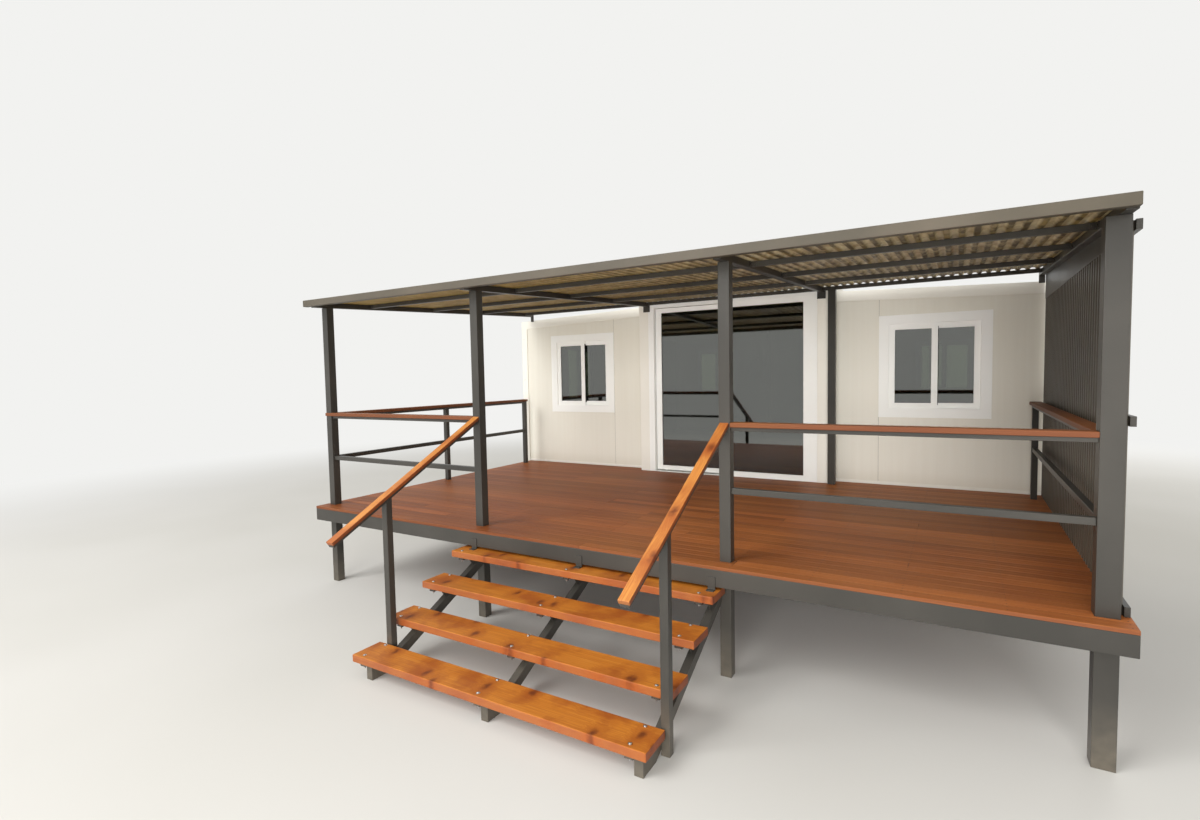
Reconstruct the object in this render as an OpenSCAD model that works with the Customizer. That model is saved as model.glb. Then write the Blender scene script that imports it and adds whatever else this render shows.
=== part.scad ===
// Fold-out container cabin with a front verandah and an open timber stair.
// Millimetres. X runs along the front, Y into the cabin and Z up from the ground.
// Built with X = 0 at the cabin's middle and Y = 0 at the face of its centre module,
// then moved so that the origin lies under the middle of the whole object.

/* [Cabin] */
// Width over both folded-out wings
cabin_w = 6300; // [5400:10:7200]
// Width of the fixed centre module
core_w = 2300; // [2100:10:2600]
// Length of the centre module, front to back
cabin_len = 5850; // [4800:10:7000]
// How far the wing end walls stand behind the centre module's face
wing_setback = 170; // [120:5:260]
// Clear height under the cabin's steel base
base_z = 520; // [400:5:700]
// Height of the centre module from the base's underside to its top
core_h = 2450; // [2350:5:2700]
// Height of the base beams
base_beam_h = 160; // [100:5:180]
// Width of the base beams
base_beam_w = 100; // [60:5:140]
// Thickness of the floor
floor_t = 75; // [40:5:100]
// Drop of a wing roof's top below the centre module's top, beside it
wing_drop_in = 100; // [70:5:130]
// The same drop at the outer wall
wing_drop_out = 170; // [140:5:230]
// Thickness of the insulated wall panels
panel_t = 50; // [40:5:75]
// Thickness of the roof panels
roof_t = 75; // [50:5:90]
// Width of a centre module column seen from the front
column_w = 125; // [80:5:160]
// Height of a corner block at a column's top and foot
corner_block_h = 118; // [80:1:150]
// How far a corner block stands proud of its column
corner_block_out = 6; // [3:1:12]
// Width of a wing corner trim
corner_trim = 80; // [50:5:110]
// Thickness of the folded trims
trim_t = 12; // [6:1:20]
// Height of the top channel over a wing end wall
channel_h = 110; // [90:5:140]
// Width of the lifting slot in a corner block
slot_w = 70; // [40:5:90]
// Height of the lifting slot in a corner block
slot_h = 45; // [30:5:60]
// Width of the centre module's roof beams
roof_beam_w = 100; // [60:5:120]
// Height of the ribs pressed across the centre roof
rib_h = 12; // [6:1:20]
// Width of those ribs
rib_w = 30; // [20:5:60]
// Spacing of those ribs
rib_step = 245; // [150:5:400]

/* [Windows] */
// Width over a window's outer trim
win_w = 1020; // [900:10:1100]
// Height over a window's outer trim
win_h = 1075; // [900:5:1120]
// Drop of a window's head below the wing roof's top at the outer wall
win_drop = 230; // [175:5:325]
// Shift of a front window from the middle of its wing towards the centre
win_shift = 15; // [-100:5:150]
// Visible width of the outer trim
win_trim = 60; // [40:5:80]
// Visible width of the fixed frame inside the trim
win_frame = 35; // [25:1:45]
// Width of a sash member
sash_w = 58; // [40:1:70]
// Distance between the windows of a long side
side_win_gap = 2600; // [2000:50:3000]
// Depth of the fixed frame behind the wall's face
win_depth = 60; // [58:1:80]
// Thickness of a sash
sash_t = 26; // [20:1:26]
// Clearance between the two sashes
sash_gap = 2; // [1:0.5:3]
// Overlap of the two sashes at the middle
sash_overlap = 80; // [60:5:110]
// Front of the outer sash behind the wall's face
front_track = 4; // [2:1:5]

/* [Door] */
// Width of a door jamb seen from the front
jamb_w = 75; // [50:5:90]
// Depth of the door frame
door_frame_d = 110; // [105:1:140]
// Height of the sill above the floor
sill_h = 20; // [12:1:30]
// Drop of the door head's underside below the centre module's top
door_head_drop = 145; // [130:5:270]
// Height of the door head
door_head_h = 45; // [30:5:70]
// Front of the fixed panel behind the centre module's face
fixed_y = 12; // [6:1:15]
// Running clearance between the two panels
panel_gap = 6; // [5:0.5:8]
// Width of a door panel's stiles
stile_w = 75; // [55:5:90]
// Height of a door panel's rails
door_rail_h = 55; // [40:5:80]
// Thickness of a door panel
door_t = 35; // [28:1:38]
// Overlap of the two panels at the middle
interlock = 70; // [50:5:90]
// Running clearance round the sliding panel
door_gap = 5; // [5:0.5:8]
// Radius of a door roller
roller_r = 12; // [8:1:16]
// Width of a door roller
roller_w = 6; // [4:1:12]
// Gap between a roller and its track
roller_gap = 0.3; // [0.2:0.1:0.5]
// Distance of a roller from the panel's edge
roller_inset = 120; // [60:5:200]
// Width of the latch
latch_w = 22; // [15:1:40]
// How far the latch stands into the room
latch_out = 14; // [8:1:16]
// Height of the latch
latch_h = 90; // [60:5:160]
// Underside of the latch above the floor
latch_up = 995; // [740:5:1200]
// Thickness of the glass
glass_t = 6; // [4:1:10]

/* [Deck] */
// Height of the deck boards' top above the cabin's floor
deck_step = 15; // [0:1:45]
// Depth of the deck from the centre module's face
deck_depth = 3315; // [2600:5:4000]
// How far the deck's left edge stands in from the wing's outer face
deck_inset_left = 100; // [0:5:200]
// How far the deck's right edge stands in from the wing's outer face
deck_inset_right = 50; // [0:5:150]
// Thickness of the deck boards
board_t = 22; // [19:1:32]
// Height of the deck's edge beams and joists
deck_beam_h = 112; // [90:1:150]
// Width of the deck's edge beams and joists
deck_beam_w = 50; // [40:5:75]
// Spacing of the joists at most
joist_step = 620; // [400:10:800]
// Gap between the deck and the cabin
deck_gap = 5; // [3:1:12]

/* [Verandah frame] */
// Side of the three slimmer posts
post_w = 75; // [60:5:90]
// Side of the right corner post
corner_post_w = 100; // [75:5:125]
// Setback of the posts' front face from the deck's front edge
post_inset = 120; // [60:5:160]
// Distance between the middles of the two posts beside the stair
stair_bay = 2110; // [1900:10:2300]
// Middle of the stair from the cabin's middle, to the right
stair_x = 15; // [-60:5:60]
// Drop of the roof steel at the cabin's face below the centre module's top
roof_drop = 66; // [14:1:164]
// Fall of the verandah roof towards the front, degrees
roof_pitch = 2.7; // [1.5:0.1:2.8]
// Reach of the roof steel in front of the deck's edge
roof_reach = 50; // [20:5:120]
// Depth of the rafters and side beams
rafter_h = 50; // [40:5:60]
// Width of the rafters and side beams
rafter_w = 50; // [40:5:70]
// Depth of the purlins
purlin_h = 38; // [30:1:40]
// Width of the purlins
purlin_w = 40; // [30:1:50]
// Number of purlins between the front beam and the wall
purlin_n = 4; // [3:1:5]
// Distance of the first purlin from the front beam
first_purlin = 640; // [400:10:900]
// Height of the front fascia beam
fascia_h = 60; // [50:1:100]
// Thickness of the front fascia beam
fascia_t = 50; // [30:5:70]
// Side of the square post against the cabin
wall_post_w = 75; // [50:5:90]
// Thickness of the plates that fix the roof steel to the cabin
cleat_t = 8; // [5:1:12]
// Depth of a plate on a column's corner block
cleat_h = 120; // [80:5:180]
// How much wider than its rafter a plate on a column is
plate_extra = 40; // [20:5:60]
// Lap of a side beam's plate on a wing's top channel
plate_lap = 15; // [8:1:40]

/* [Roof sheets and side screen] */
// Pitch of the corrugations
wave_pitch = 76; // [60:1:100]
// Depth of the corrugations
wave_h = 17; // [12:1:20]
// Thickness of a corrugated sheet
sheet_t = 2; // [1:0.5:4]
// Corrugations in one roof sheet
waves_per_sheet = 10; // [6:1:12]
// How far the roof's left edge stands in from the deck's left edge
roof_inset = 10; // [0:1:60]
// Gap between neighbouring roof sheets
sheet_gap = 1; // [0.5:0.5:3]
// Gap between the roof sheets' front ends and the front beam
sheet_end_gap = 2; // [1:0.5:6]
// Clearance between the roof sheets and the steel that carries them
sheet_seat = 0.3; // [0.1:0.1:0.9]
// Thickness of the screen's outer rails
girt_t = 25; // [15:1:30]
// Height of the screen's outer rails
girt_h = 50; // [30:5:75]
// Thickness of the flat flashing over the screen
flashing_t = 3; // [2:1:5]
// Gap between the screen's ribbed sheet and the side beam at the front
screen_clear = 20; // [5:1:135]

/* [Rails] */
// Top of the timber cap above the deck
rail_h = 910; // [850:5:1100]
// Width of the timber cap
cap_w = 90; // [80:5:120]
// Thickness of the timber cap
cap_t = 30; // [20:1:45]
// Height of the steel rail under the cap
top_rail_h = 25; // [20:1:40]
// Width of the steel rail under the cap
top_rail_w = 50; // [40:5:60]
// Top of the middle rail above the deck
mid_rail_h = 485; // [350:5:600]
// Side of the middle rail
mid_rail_w = 40; // [30:5:50]
// Side of the short rail posts
rail_post_w = 50; // [40:5:60]
// Gap between the side rails' ends and the cabin
rail_end_gap = 50; // [30:5:120]

/* [Stair] */
// Number of treads, one fewer than the risers
tread_n = 4; // [3:1:5]
// Going of each tread
going = 315; // [250:5:340]
// Depth of a tread, front to back
tread_d = 228; // [200:1:300]
// Thickness of a tread
tread_t = 50; // [38:1:60]
// Length of a tread along X
tread_len = 2200; // [1900:10:2300]
// Reach of the top tread's front edge from the deck's front edge
top_tread_reach = 125; // [110:5:230]
// Shift of the treads' middle from the middle of the stair's posts
tread_shift = -40; // [-60:5:60]
// Width of a stringer
stringer_w = 50; // [40:5:60]
// Depth of a stringer, across its slope
stringer_h = 65; // [50:5:80]
// Thickness of the plates that carry a tread
bracket_t = 6; // [5:1:10]
// How much shorter than a tread's depth its plates are
plate_inset = 50; // [30:5:90]
// Height of the angles that hold the top tread
tread_angle_h = 84; // [60:1:110]
// Depth of those angles on the tread
tread_angle_d = 40; // [30:1:60]
// Height of the header between the stair posts
header_h = 60; // [50:5:90]
// Side of a handrail post
newel_w = 50; // [40:5:60]
// Distance of a handrail post's middle from the deck's front edge
newel_reach = 808; // [600:1:900]
// Distance of a handrail's low end from the deck's front edge
handrail_reach = 1265; // [1000:5:1500]
// Slope of the handrails, degrees
handrail_slope = 26.9; // [20:0.1:32]
// Width of a handrail's timber
handrail_w = 62; // [50:1:90]
// Thickness of a handrail's timber
handrail_t = 32; // [25:1:45]
// Height of the steel flat under a handrail
handrail_flat = 10; // [6:1:20]

/* [Supports] */
// Side of a deck leg
leg_w = 75; // [60:5:100]
// Side of a cabin stump
stump_w = 100; // [75:5:150]
// Side of a stump's foot plate
stump_foot = 240; // [180:10:320]
// Thickness of a stump's foot plate
foot_t = 20; // [10:1:40]

/* [Hidden] */

// colours
white_paint = "#e9e6dc";
charcoal = "#3b3a38";
decking = "#7b3b22";
tread_wood = "#b7652a";
bronze_sheet = "#a8926a";
glass_tint = [0.45, 0.52, 0.50, 0.45];
galvanised = "#a9acab";

// places along X
half_w = cabin_w / 2;
half_core = core_w / 2;
win_x = (half_core + half_w) / 2 - win_shift;
deck_left = half_w - deck_inset_left;
deck_right = half_w - deck_inset_right;
post_xs = [
  -deck_left + deck_beam_w + post_w / 2,
  stair_x - stair_bay / 2,
  stair_x + stair_bay / 2,
  deck_right - deck_beam_w - corner_post_w / 2
];
post_ws = [post_w, post_w, post_w, corner_post_w];

// places along Y
deck_front = -deck_depth;
post_front = deck_front + post_inset;
roof_front = deck_front - roof_reach;
steel_front = roof_front + fascia_t;
wing_front = wing_setback;
wing_back = cabin_len - wing_setback;
trim_front = wing_front - trim_t;
// what stands against the cabin keeps clear of its corner blocks and of the plates on them
back_limit = -deck_gap - corner_block_out;
plate_front = -corner_block_out - cleat_t;
column_d = wing_setback + panel_t;

// the whole object reaches from the handrails' low ends to the back of the centre module
object_front = deck_front - handrail_reach;
object_back = cabin_len + corner_block_out;
mid_y = (object_front + object_back) / 2;

// heights
base_top = base_z + base_beam_h;
floor_z = base_top + floor_t;
core_top = base_z + core_h;
wing_top_in = core_top - wing_drop_in;
wing_top_out = core_top - wing_drop_out;
win_z = wing_top_out - win_drop - win_h;
door_head_z = core_top - door_head_drop;
deck_z = floor_z + deck_step;
deck_under = deck_z - board_t;
beam_under = deck_under - deck_beam_h;
cap_top = deck_z + rail_h;
steel_rail_top = cap_top - cap_t;
steel_rail_under = steel_rail_top - top_rail_h;
rise = deck_z / (tread_n + 1);

// The roof steel's top over any Y, and the rafters' underside
function steel_top(y) = core_top - roof_drop + y * tan(roof_pitch);
function rafter_under(y) = steel_top(y) - rafter_h;
roof_z = steel_top(steel_front);
// The wing roof's top over any distance from the middle
function wing_top(x) =
  wing_top_in - (x - half_core) * (wing_top_in - wing_top_out) / (half_w - half_core);
function wing_under(x) = wing_top(x) - roof_t;

module placed() translate([0, -mid_y, 0]) children();

// A block between two corners
module block(low, high) translate(low) cube(high - low);

// A profile in Y and Z, extruded along X from x0 over w
module along_x(x0, w, points)
  translate([x0, 0, 0]) rotate([90, 0, 90]) linear_extrude(w) polygon(points);

// A profile in X and Z, extruded along Y from y0 over d
module along_y(y0, d, points)
  translate([0, y0 + d, 0]) rotate([90, 0, 0]) linear_extrude(d) polygon(points);

// A block of the given height under a line that follows the roof steel
module sloped_bar(x0, w, y0, y1, drop, h)
  along_x(x0, w, [
    [y0, steel_top(y0) - drop], [y1, steel_top(y1) - drop],
    [y1, steel_top(y1) - drop - h], [y0, steel_top(y0) - drop - h]
  ]);

// Both sides of the cabin's middle
module both_sides() {
  children();
  mirror([1, 0, 0]) children();
}

// Cabin base

stump_rows = [wing_front + stump_foot / 2, cabin_len / 2, wing_back - stump_foot / 2];

module stump() {
  translate([-stump_foot / 2, -stump_foot / 2, 0]) cube([stump_foot, stump_foot, foot_t]);
  translate([-stump_w / 2, -stump_w / 2, 0]) cube([stump_w, stump_w, base_z]);
}

module cabin_stumps() placed() color(galvanised) both_sides()
  for (x = [half_core - base_beam_w / 2, half_w - stump_foot / 2], y = stump_rows)
    translate([x, y, 0]) stump();

module cabin_long_beams() placed() color(white_paint) both_sides() {
  block([half_core - base_beam_w, 0, base_z], [half_core, cabin_len, base_top]);
  block([half_w - base_beam_w, wing_front, base_z], [half_w, wing_back, base_top]);
}

module cabin_cross_beams() placed() color(white_paint) {
  inner = half_core - base_beam_w;
  for (y = [0, (cabin_len - base_beam_w) / 2, cabin_len - base_beam_w])
    block([-inner, y, base_z], [inner, y + base_beam_w, base_top]);
  both_sides()
    for (y = [wing_front, (cabin_len - base_beam_w) / 2, wing_back - base_beam_w])
      block([half_core, y, base_z], [half_w - base_beam_w, y + base_beam_w, base_top]);
}

module cabin_floor() placed() color(white_paint) {
  difference() {
    union() {
      block([-half_core, 0, base_top], [half_core, cabin_len, floor_z]);
      block([-half_w, wing_front, base_top], [half_w, wing_back, floor_z]);
    }
    // the corner columns pass the floor
    for (y = [0, cabin_len - column_d]) both_sides()
      block([half_core - column_w, y - 1, base_top - 1], [half_core + 1, y + column_d + 1, floor_z + 1]);
  }
}

// Centre module

// A corner column with its lifting block, front left
module corner_column() {
  mid_x = -half_core + column_w / 2;
  block([-half_core, 0, base_top], [-half_core + column_w, column_d, core_top]);
  difference() {
    block([-half_core, -corner_block_out, core_top - corner_block_h],
          [-half_core + column_w, column_d - panel_t, core_top]);
    translate([mid_x - slot_w / 2, -corner_block_out - 1, core_top - (corner_block_h + slot_h) / 2])
      cube([slot_w, corner_block_out + 1, slot_h]);
  }
}

// The same at both ends of the cabin
module both_ends() {
  children();
  translate([0, cabin_len, 0]) mirror([0, 1, 0]) children();
}

module centre_columns() placed() color(white_paint)
  both_sides() both_ends() corner_column();

head_beam_under = door_head_z + door_head_h;
side_beam_under = wing_under(half_core);
column_inner = half_core - column_w;

module centre_roof_beams() placed() color(white_paint) {
  both_ends()
    block([-column_inner, 0, head_beam_under], [column_inner, roof_beam_w, core_top]);
  both_sides()
    block([half_core - roof_beam_w, column_d, side_beam_under], [half_core, cabin_len - column_d, core_top]);
}

module centre_roof() placed() color(white_paint) {
  inner = half_core - roof_beam_w;
  rib_n = floor((cabin_len - 2 * column_d) / rib_step);
  rib_0 = (cabin_len - (rib_n - 1) * rib_step) / 2;
  block([-inner, column_d, core_top - roof_t], [inner, cabin_len - column_d, core_top - rib_h]);
  both_ends()
    block([-column_inner, roof_beam_w, core_top - roof_t], [column_inner, column_d, core_top - rib_h]);
  // pressed ribs across the roof
  for (k = [0 : rib_n - 1])
    block([-inner, rib_0 + k * rib_step - rib_w / 2, core_top - rib_h],
          [inner, rib_0 + k * rib_step + rib_w / 2, core_top]);
}

// Wings

// Outline of a wing end wall in X and Z, right side
wing_end_outline = [
  [half_core, floor_z], [half_w, floor_z], [half_w, wing_under(half_w)], [half_core, wing_under(half_core)]
];
opening_w = win_w - 2 * win_trim;
opening_h = win_h - 2 * win_trim;
opening_z = win_z + win_trim;

module wing_end_wall() {
  difference() {
    along_y(wing_front, panel_t, wing_end_outline);
    translate([win_x - opening_w / 2, wing_front - 1, opening_z])
      cube([opening_w, panel_t + 2, opening_h]);
  }
}

module right_front_wall() placed() color(white_paint) wing_end_wall();

module left_front_wall() placed() color(white_paint) mirror([1, 0, 0]) wing_end_wall();

// The back of the cabin has the same end walls and a plain panel in the centre module
module back_walls() placed() color(white_paint) {
  both_sides() translate([0, cabin_len, 0]) mirror([0, 1, 0]) wing_end_wall();
  block([-column_inner, cabin_len - panel_t, floor_z], [column_inner, cabin_len, head_beam_under]);
}

side_wall_0 = wing_front + panel_t;
side_wall_1 = wing_back - panel_t;
side_win_ys = [(cabin_len - side_win_gap) / 2, (cabin_len + side_win_gap) / 2];

module side_wall() {
  inner_x = half_w - panel_t;
  difference() {
    along_y(side_wall_0, side_wall_1 - side_wall_0, [
      [inner_x, floor_z], [half_w, floor_z], [half_w, wing_under(half_w)], [inner_x, wing_under(inner_x)]
    ]);
    for (y = side_win_ys)
      translate([inner_x - 1, y - opening_w / 2, opening_z])
        cube([panel_t + 2, opening_w, opening_h]);
  }
}

module right_side_wall() placed() color(white_paint) side_wall();

module left_side_wall() placed() color(white_paint) mirror([1, 0, 0]) side_wall();

outer_x = half_w + trim_t;

// Folded trim round each outer corner of the wings
module wing_corner_trims() placed() color(white_paint) both_sides() both_ends() {
  difference() {
    block([half_w - corner_trim, trim_front, floor_z],
          [outer_x, wing_front + corner_trim, wing_under(outer_x)]);
    block([half_w - corner_trim - 1, wing_front, floor_z - 1],
          [half_w, wing_front + corner_trim + 1, core_top]);
    // the channel passes in front of the trim's top
    along_y(trim_front - 1, trim_t + 1, [
      [half_core, wing_top(half_core) - channel_h], [outer_x + 1, wing_top(outer_x + 1) - channel_h],
      [outer_x + 1, core_top], [half_core, core_top]
    ]);
  }
}

// Sloping channel over each wing end wall
module wing_top_channels() placed() color(white_paint) both_sides() both_ends()
  along_y(trim_front, trim_t, [
    [half_core, wing_top(half_core) - channel_h], [outer_x, wing_top(outer_x) - channel_h],
    [outer_x, wing_top(outer_x)], [half_core, wing_top(half_core)]
  ]);

module wing_roof() {
  along_y(wing_front, wing_back - wing_front, [
    [half_core, wing_under(half_core)], [outer_x, wing_under(outer_x)],
    [outer_x, wing_top(outer_x)], [half_core, wing_top(half_core)]
  ]);
}

module right_wing_roof() placed() color(white_paint) wing_roof();

module left_wing_roof() placed() color(white_paint) mirror([1, 0, 0]) wing_roof();

// Windows: each is made facing -Y with its trim's face at Y = -trim_t, middle of the width at X = 0

inner_w = opening_w - 2 * win_frame;
inner_h = opening_h - 2 * win_frame;
pane_h = inner_h - 2 * sash_w;

// A rectangular ring facing -Y, from y0 over d
module ring(w, h, side, y0, d)
  difference() {
    translate([-w / 2, y0, 0]) cube([w, d, h]);
    translate([-w / 2 + side, y0 - 1, side]) cube([w - 2 * side, d + 2, h - 2 * side]);
  }

// One sash, from x0 over w in the track at y0
module sash(x0, w, y0)
  translate([x0 + w / 2, 0, win_trim + win_frame]) ring(w, inner_h, sash_w, y0, sash_t);

sash_len = (inner_w + sash_overlap) / 2;
rear_track = front_track + sash_t + sash_gap;

module window() {
  ring(win_w, win_h, win_trim, -trim_t, trim_t);
  translate([0, 0, win_trim]) ring(opening_w, opening_h, win_frame, -trim_t, win_depth + trim_t);
  sash(-inner_w / 2, sash_len, front_track);
  sash(inner_w / 2 - sash_len, sash_len, rear_track);
}

module window_glass() {
  pane_w = sash_len - 2 * sash_w;
  for (pane = [[-inner_w / 2 + sash_w, front_track], [inner_w / 2 - sash_len + sash_w, rear_track]])
    translate([pane[0], pane[1] + (sash_t - glass_t) / 2, win_trim + win_frame + sash_w])
      cube([pane_w, glass_t, pane_h]);
}

module at_front_windows()
  for (x = [-win_x, win_x]) translate([x, wing_front, win_z]) children();

module at_rear_windows() {
  for (x = [-win_x, win_x])
    translate([x, wing_back, win_z]) rotate([0, 0, 180]) children();
  for (y = side_win_ys) {
    translate([half_w, y, win_z]) rotate([0, 0, 90]) children();
    translate([-half_w, y, win_z]) rotate([0, 0, -90]) children();
  }
}

module front_windows() placed() color(white_paint) at_front_windows() window();

module front_window_glass() placed() color(glass_tint) at_front_windows() window_glass();

module rear_windows() placed() color(white_paint) at_rear_windows() window();

module rear_window_glass() placed() color(glass_tint) at_rear_windows() window_glass();

// Sliding door: the right panel is fixed in the front track, the left one slides behind it

jamb_inner = column_inner - jamb_w;
sill_top = floor_z + sill_h;
sliding_y = fixed_y + door_t + panel_gap;
panel_w = jamb_inner - door_gap + interlock / 2;
sliding_x = -jamb_inner + door_gap;
sliding_z = sill_top + roller_r;
sliding_top = door_head_z - door_gap;

module door_jambs() placed() color(white_paint) both_sides()
  block([jamb_inner, 0, sill_top], [column_inner, door_frame_d, door_head_z]);

module door_head_and_sill() placed() color(white_paint) {
  block([-column_inner, 0, door_head_z], [column_inner, door_frame_d, head_beam_under]);
  block([-column_inner, 0, floor_z], [column_inner, door_frame_d, sill_top]);
}

// Stiles and rails of a door panel, from x0 over w
module door_panel(x0, w, y0, z0, z1)
  difference() {
    block([x0, y0, z0], [x0 + w, y0 + door_t, z1]);
    block([x0 + stile_w, y0 - 1, z0 + door_rail_h], [x0 + w - stile_w, y0 + door_t + 1, z1 - door_rail_h]);
  }

module door_glass(x0, w, y0, z0, z1)
  block([x0 + stile_w, y0 + (door_t - glass_t) / 2, z0 + door_rail_h],
        [x0 + w - stile_w, y0 + (door_t + glass_t) / 2, z1 - door_rail_h]);

fixed_x = jamb_inner - panel_w - door_gap;
fixed_w = panel_w + door_gap;

module fixed_door_panel() placed() color(white_paint)
  door_panel(fixed_x, fixed_w, fixed_y, sill_top, door_head_z);

module fixed_door_glass() placed() color(glass_tint)
  door_glass(fixed_x, fixed_w, fixed_y, sill_top, door_head_z);

module sliding_door_panel() placed() color(white_paint) {
  mid_track = sliding_y + door_t / 2;
  door_panel(sliding_x, panel_w, sliding_y, sliding_z, sliding_top);
  // rollers under the bottom rail run on the sill
  for (x = [sliding_x + roller_inset, sliding_x + panel_w - roller_inset])
    translate([x, mid_track - roller_w / 2, sill_top + roller_r + roller_gap])
      rotate([-90, 0, 0]) cylinder(r = roller_r, h = roller_w, $fn = 48);
  // latch on the room side of the leading stile
  translate([sliding_x + (stile_w - latch_w) / 2, sliding_y + door_t, floor_z + latch_up])
    cube([latch_w, latch_out, latch_h]);
}

module sliding_door_glass() placed() color(glass_tint)
  door_glass(sliding_x, panel_w, sliding_y, sliding_z, sliding_top);

// Deck

// The deck fills the steps beside the centre module
module deck_boards() placed() color(decking)
  difference() {
    union() {
      block([-deck_left, deck_front, deck_under], [deck_right, back_limit, deck_z]);
      block([-deck_left, back_limit - 1, deck_under], [-half_core - deck_gap, trim_front - deck_gap, deck_z]);
      block([half_core + deck_gap, back_limit - 1, deck_under], [deck_right, trim_front - deck_gap, deck_z]);
    }
    for (k = [0 : 3])
      block([post_xs[k] - post_ws[k] / 2, post_front, deck_under - 1],
            [post_xs[k] + post_ws[k] / 2, post_front + post_ws[k], deck_z + 1]);
  }

// Front and back bearers, and a header between the stair posts for the stringers' tops
module deck_bearers() placed() color(charcoal) {
  for (y = [deck_front, back_limit - deck_beam_w])
    block([-deck_left, y, beam_under], [deck_right, y + deck_beam_w, deck_under]);
  block([post_xs[1] + post_w / 2, post_front, stringer_top(post_front) - header_h],
        [post_xs[2] - post_w / 2, post_front + deck_beam_w, stringer_top(post_front)]);
}

// Joists run front to back: one at each side, one beside each stair post, the rest between
joist_anchors = [
  -deck_left,
  post_xs[1] - post_w / 2 - deck_beam_w,
  post_xs[2] + post_w / 2,
  deck_right - deck_beam_w
];

module joist(x)
  block([x, deck_front + deck_beam_w, beam_under], [x + deck_beam_w, back_limit - deck_beam_w, deck_under]);

module deck_joists() placed() color(charcoal) {
  joist(joist_anchors[0]);
  for (k = [0 : 2]) {
    from = joist_anchors[k];
    gap = joist_anchors[k + 1] - from;
    n = ceil(gap / joist_step);
    for (j = [1 : n]) joist(from + gap * j / n);
  }
}

module deck_legs() placed() color(charcoal)
  for (k = [0 : 3])
    block([post_xs[k] - leg_w / 2, back_limit - leg_w, 0], [post_xs[k] + leg_w / 2, back_limit, beam_under]);

// Verandah frame

module roof_post(x, w, y)
  along_x(x - w / 2, w, [
    [y, 0], [y + w, 0], [y + w, rafter_under(y + w)], [y, rafter_under(y)]
  ]);

wall_post_x = half_core;
wall_post_y = back_limit - wall_post_w;

module verandah_posts() placed() color(charcoal) {
  for (k = [0 : 3]) roof_post(post_xs[k], post_ws[k], post_front);
  // post beside the right column, which carries the back purlin
  along_x(wall_post_x, wall_post_w, [
    [wall_post_y, deck_z], [back_limit, deck_z], [back_limit, steel_top(back_limit) - purlin_h],
    [wall_post_y, steel_top(wall_post_y) - purlin_h]
  ]);
}

roof_left = roof_inset - deck_left;
roof_right = post_xs[3] + corner_post_w / 2;

module front_beam() placed() color(charcoal)
  block([roof_left, roof_front, roof_z + wave_h - fascia_h], [roof_right, steel_front, roof_z + wave_h]);

// Left side beam, two rafters and the right side beam, each with a plate on the cabin
rafter_xs = [post_xs[0], post_xs[1], post_xs[2], roof_right - rafter_w / 2];
rafter_ends = [trim_front, -corner_block_out, -corner_block_out, trim_front];
plate_ws = [rafter_w, rafter_w + plate_extra, rafter_w + plate_extra, rafter_w];
block_plate_under = steel_top(-corner_block_out) - cleat_h;
plate_unders = [
  wing_top(-rafter_xs[0]) - plate_lap, block_plate_under,
  block_plate_under, wing_top(rafter_xs[3]) - plate_lap
];

module rafters() placed() color(charcoal)
  for (k = [0 : 3]) {
    y1 = rafter_ends[k];
    y0 = y1 - cleat_t;
    sloped_bar(rafter_xs[k] - rafter_w / 2, rafter_w, steel_front, y0, 0, rafter_h);
    along_x(rafter_xs[k] - plate_ws[k] / 2, plate_ws[k], [
      [y0, plate_unders[k]], [y1, plate_unders[k]], [y1, steel_top(y1)], [y0, steel_top(y0)]
    ]);
  }

// Purlins stand between the rafters with their tops flush
purlin_first = steel_front + first_purlin;
purlin_last = plate_front - purlin_w;
purlin_step = (purlin_last - purlin_first) / (purlin_n - 1);

module purlins() placed() color(charcoal)
  for (k = [0 : 2], j = [0 : purlin_n - 1]) {
    x0 = rafter_xs[k] + rafter_w / 2;
    y0 = purlin_first + j * purlin_step;
    sloped_bar(x0, rafter_xs[k + 1] - rafter_w / 2 - x0, y0, y0 + purlin_w, 0, purlin_h);
  }

// One side of n trapezoid waves, raised by up
function wave_line(n, up) = [
  for (k = [0 : n - 1], p = [[0, 0], [0.3, 0], [0.5, 1], [0.8, 1]])
    [(k + p[0]) * wave_pitch, p[1] * (wave_h - sheet_t) + up]
];
function reversed(list) = [for (k = [len(list) - 1 : -1 : 0]) list[k]];

// A ribbed sheet's section: n waves wide, thin, lying on the X axis
module wave_section(n) {
  end = [n * wave_pitch - sheet_gap, 0];
  polygon(concat(
    wave_line(n, 0), [end],
    [end + [0, sheet_t]], reversed(wave_line(n, sheet_t))
  ));
}

// Sheets side by side, the last one cut to what is left of the width
module roof_sheets() placed() color(bronze_sheet) {
  y0 = steel_front + sheet_end_gap;
  slope_len = (back_limit - y0) / cos(roof_pitch);
  wave_total = floor((roof_right - roof_left) / wave_pitch);
  for (first = [0 : waves_per_sheet : wave_total - 1])
    translate([roof_left + first * wave_pitch, y0, steel_top(y0) + sheet_seat])
      rotate([90 + roof_pitch, 0, 0]) translate([0, 0, -slope_len])
        linear_extrude(slope_len) wave_section(min(waves_per_sheet, wave_total - first));
}

// Side screen on the right, behind the corner post

screen_x = roof_right;
screen_y0 = post_front + corner_post_w / 2;
screen_top = rafter_under(screen_y0) - screen_clear;
screen_wave_n = floor((trim_front - screen_y0) / wave_pitch);
screen_y1 = screen_y0 + screen_wave_n * wave_pitch - sheet_gap;

module screen_sheet() placed() color(charcoal)
  translate([screen_x + flashing_t, screen_y0, deck_z]) mirror([1, 0, 0]) rotate([0, 0, 90])
    linear_extrude(screen_top - deck_z) wave_section(screen_wave_n);

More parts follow.
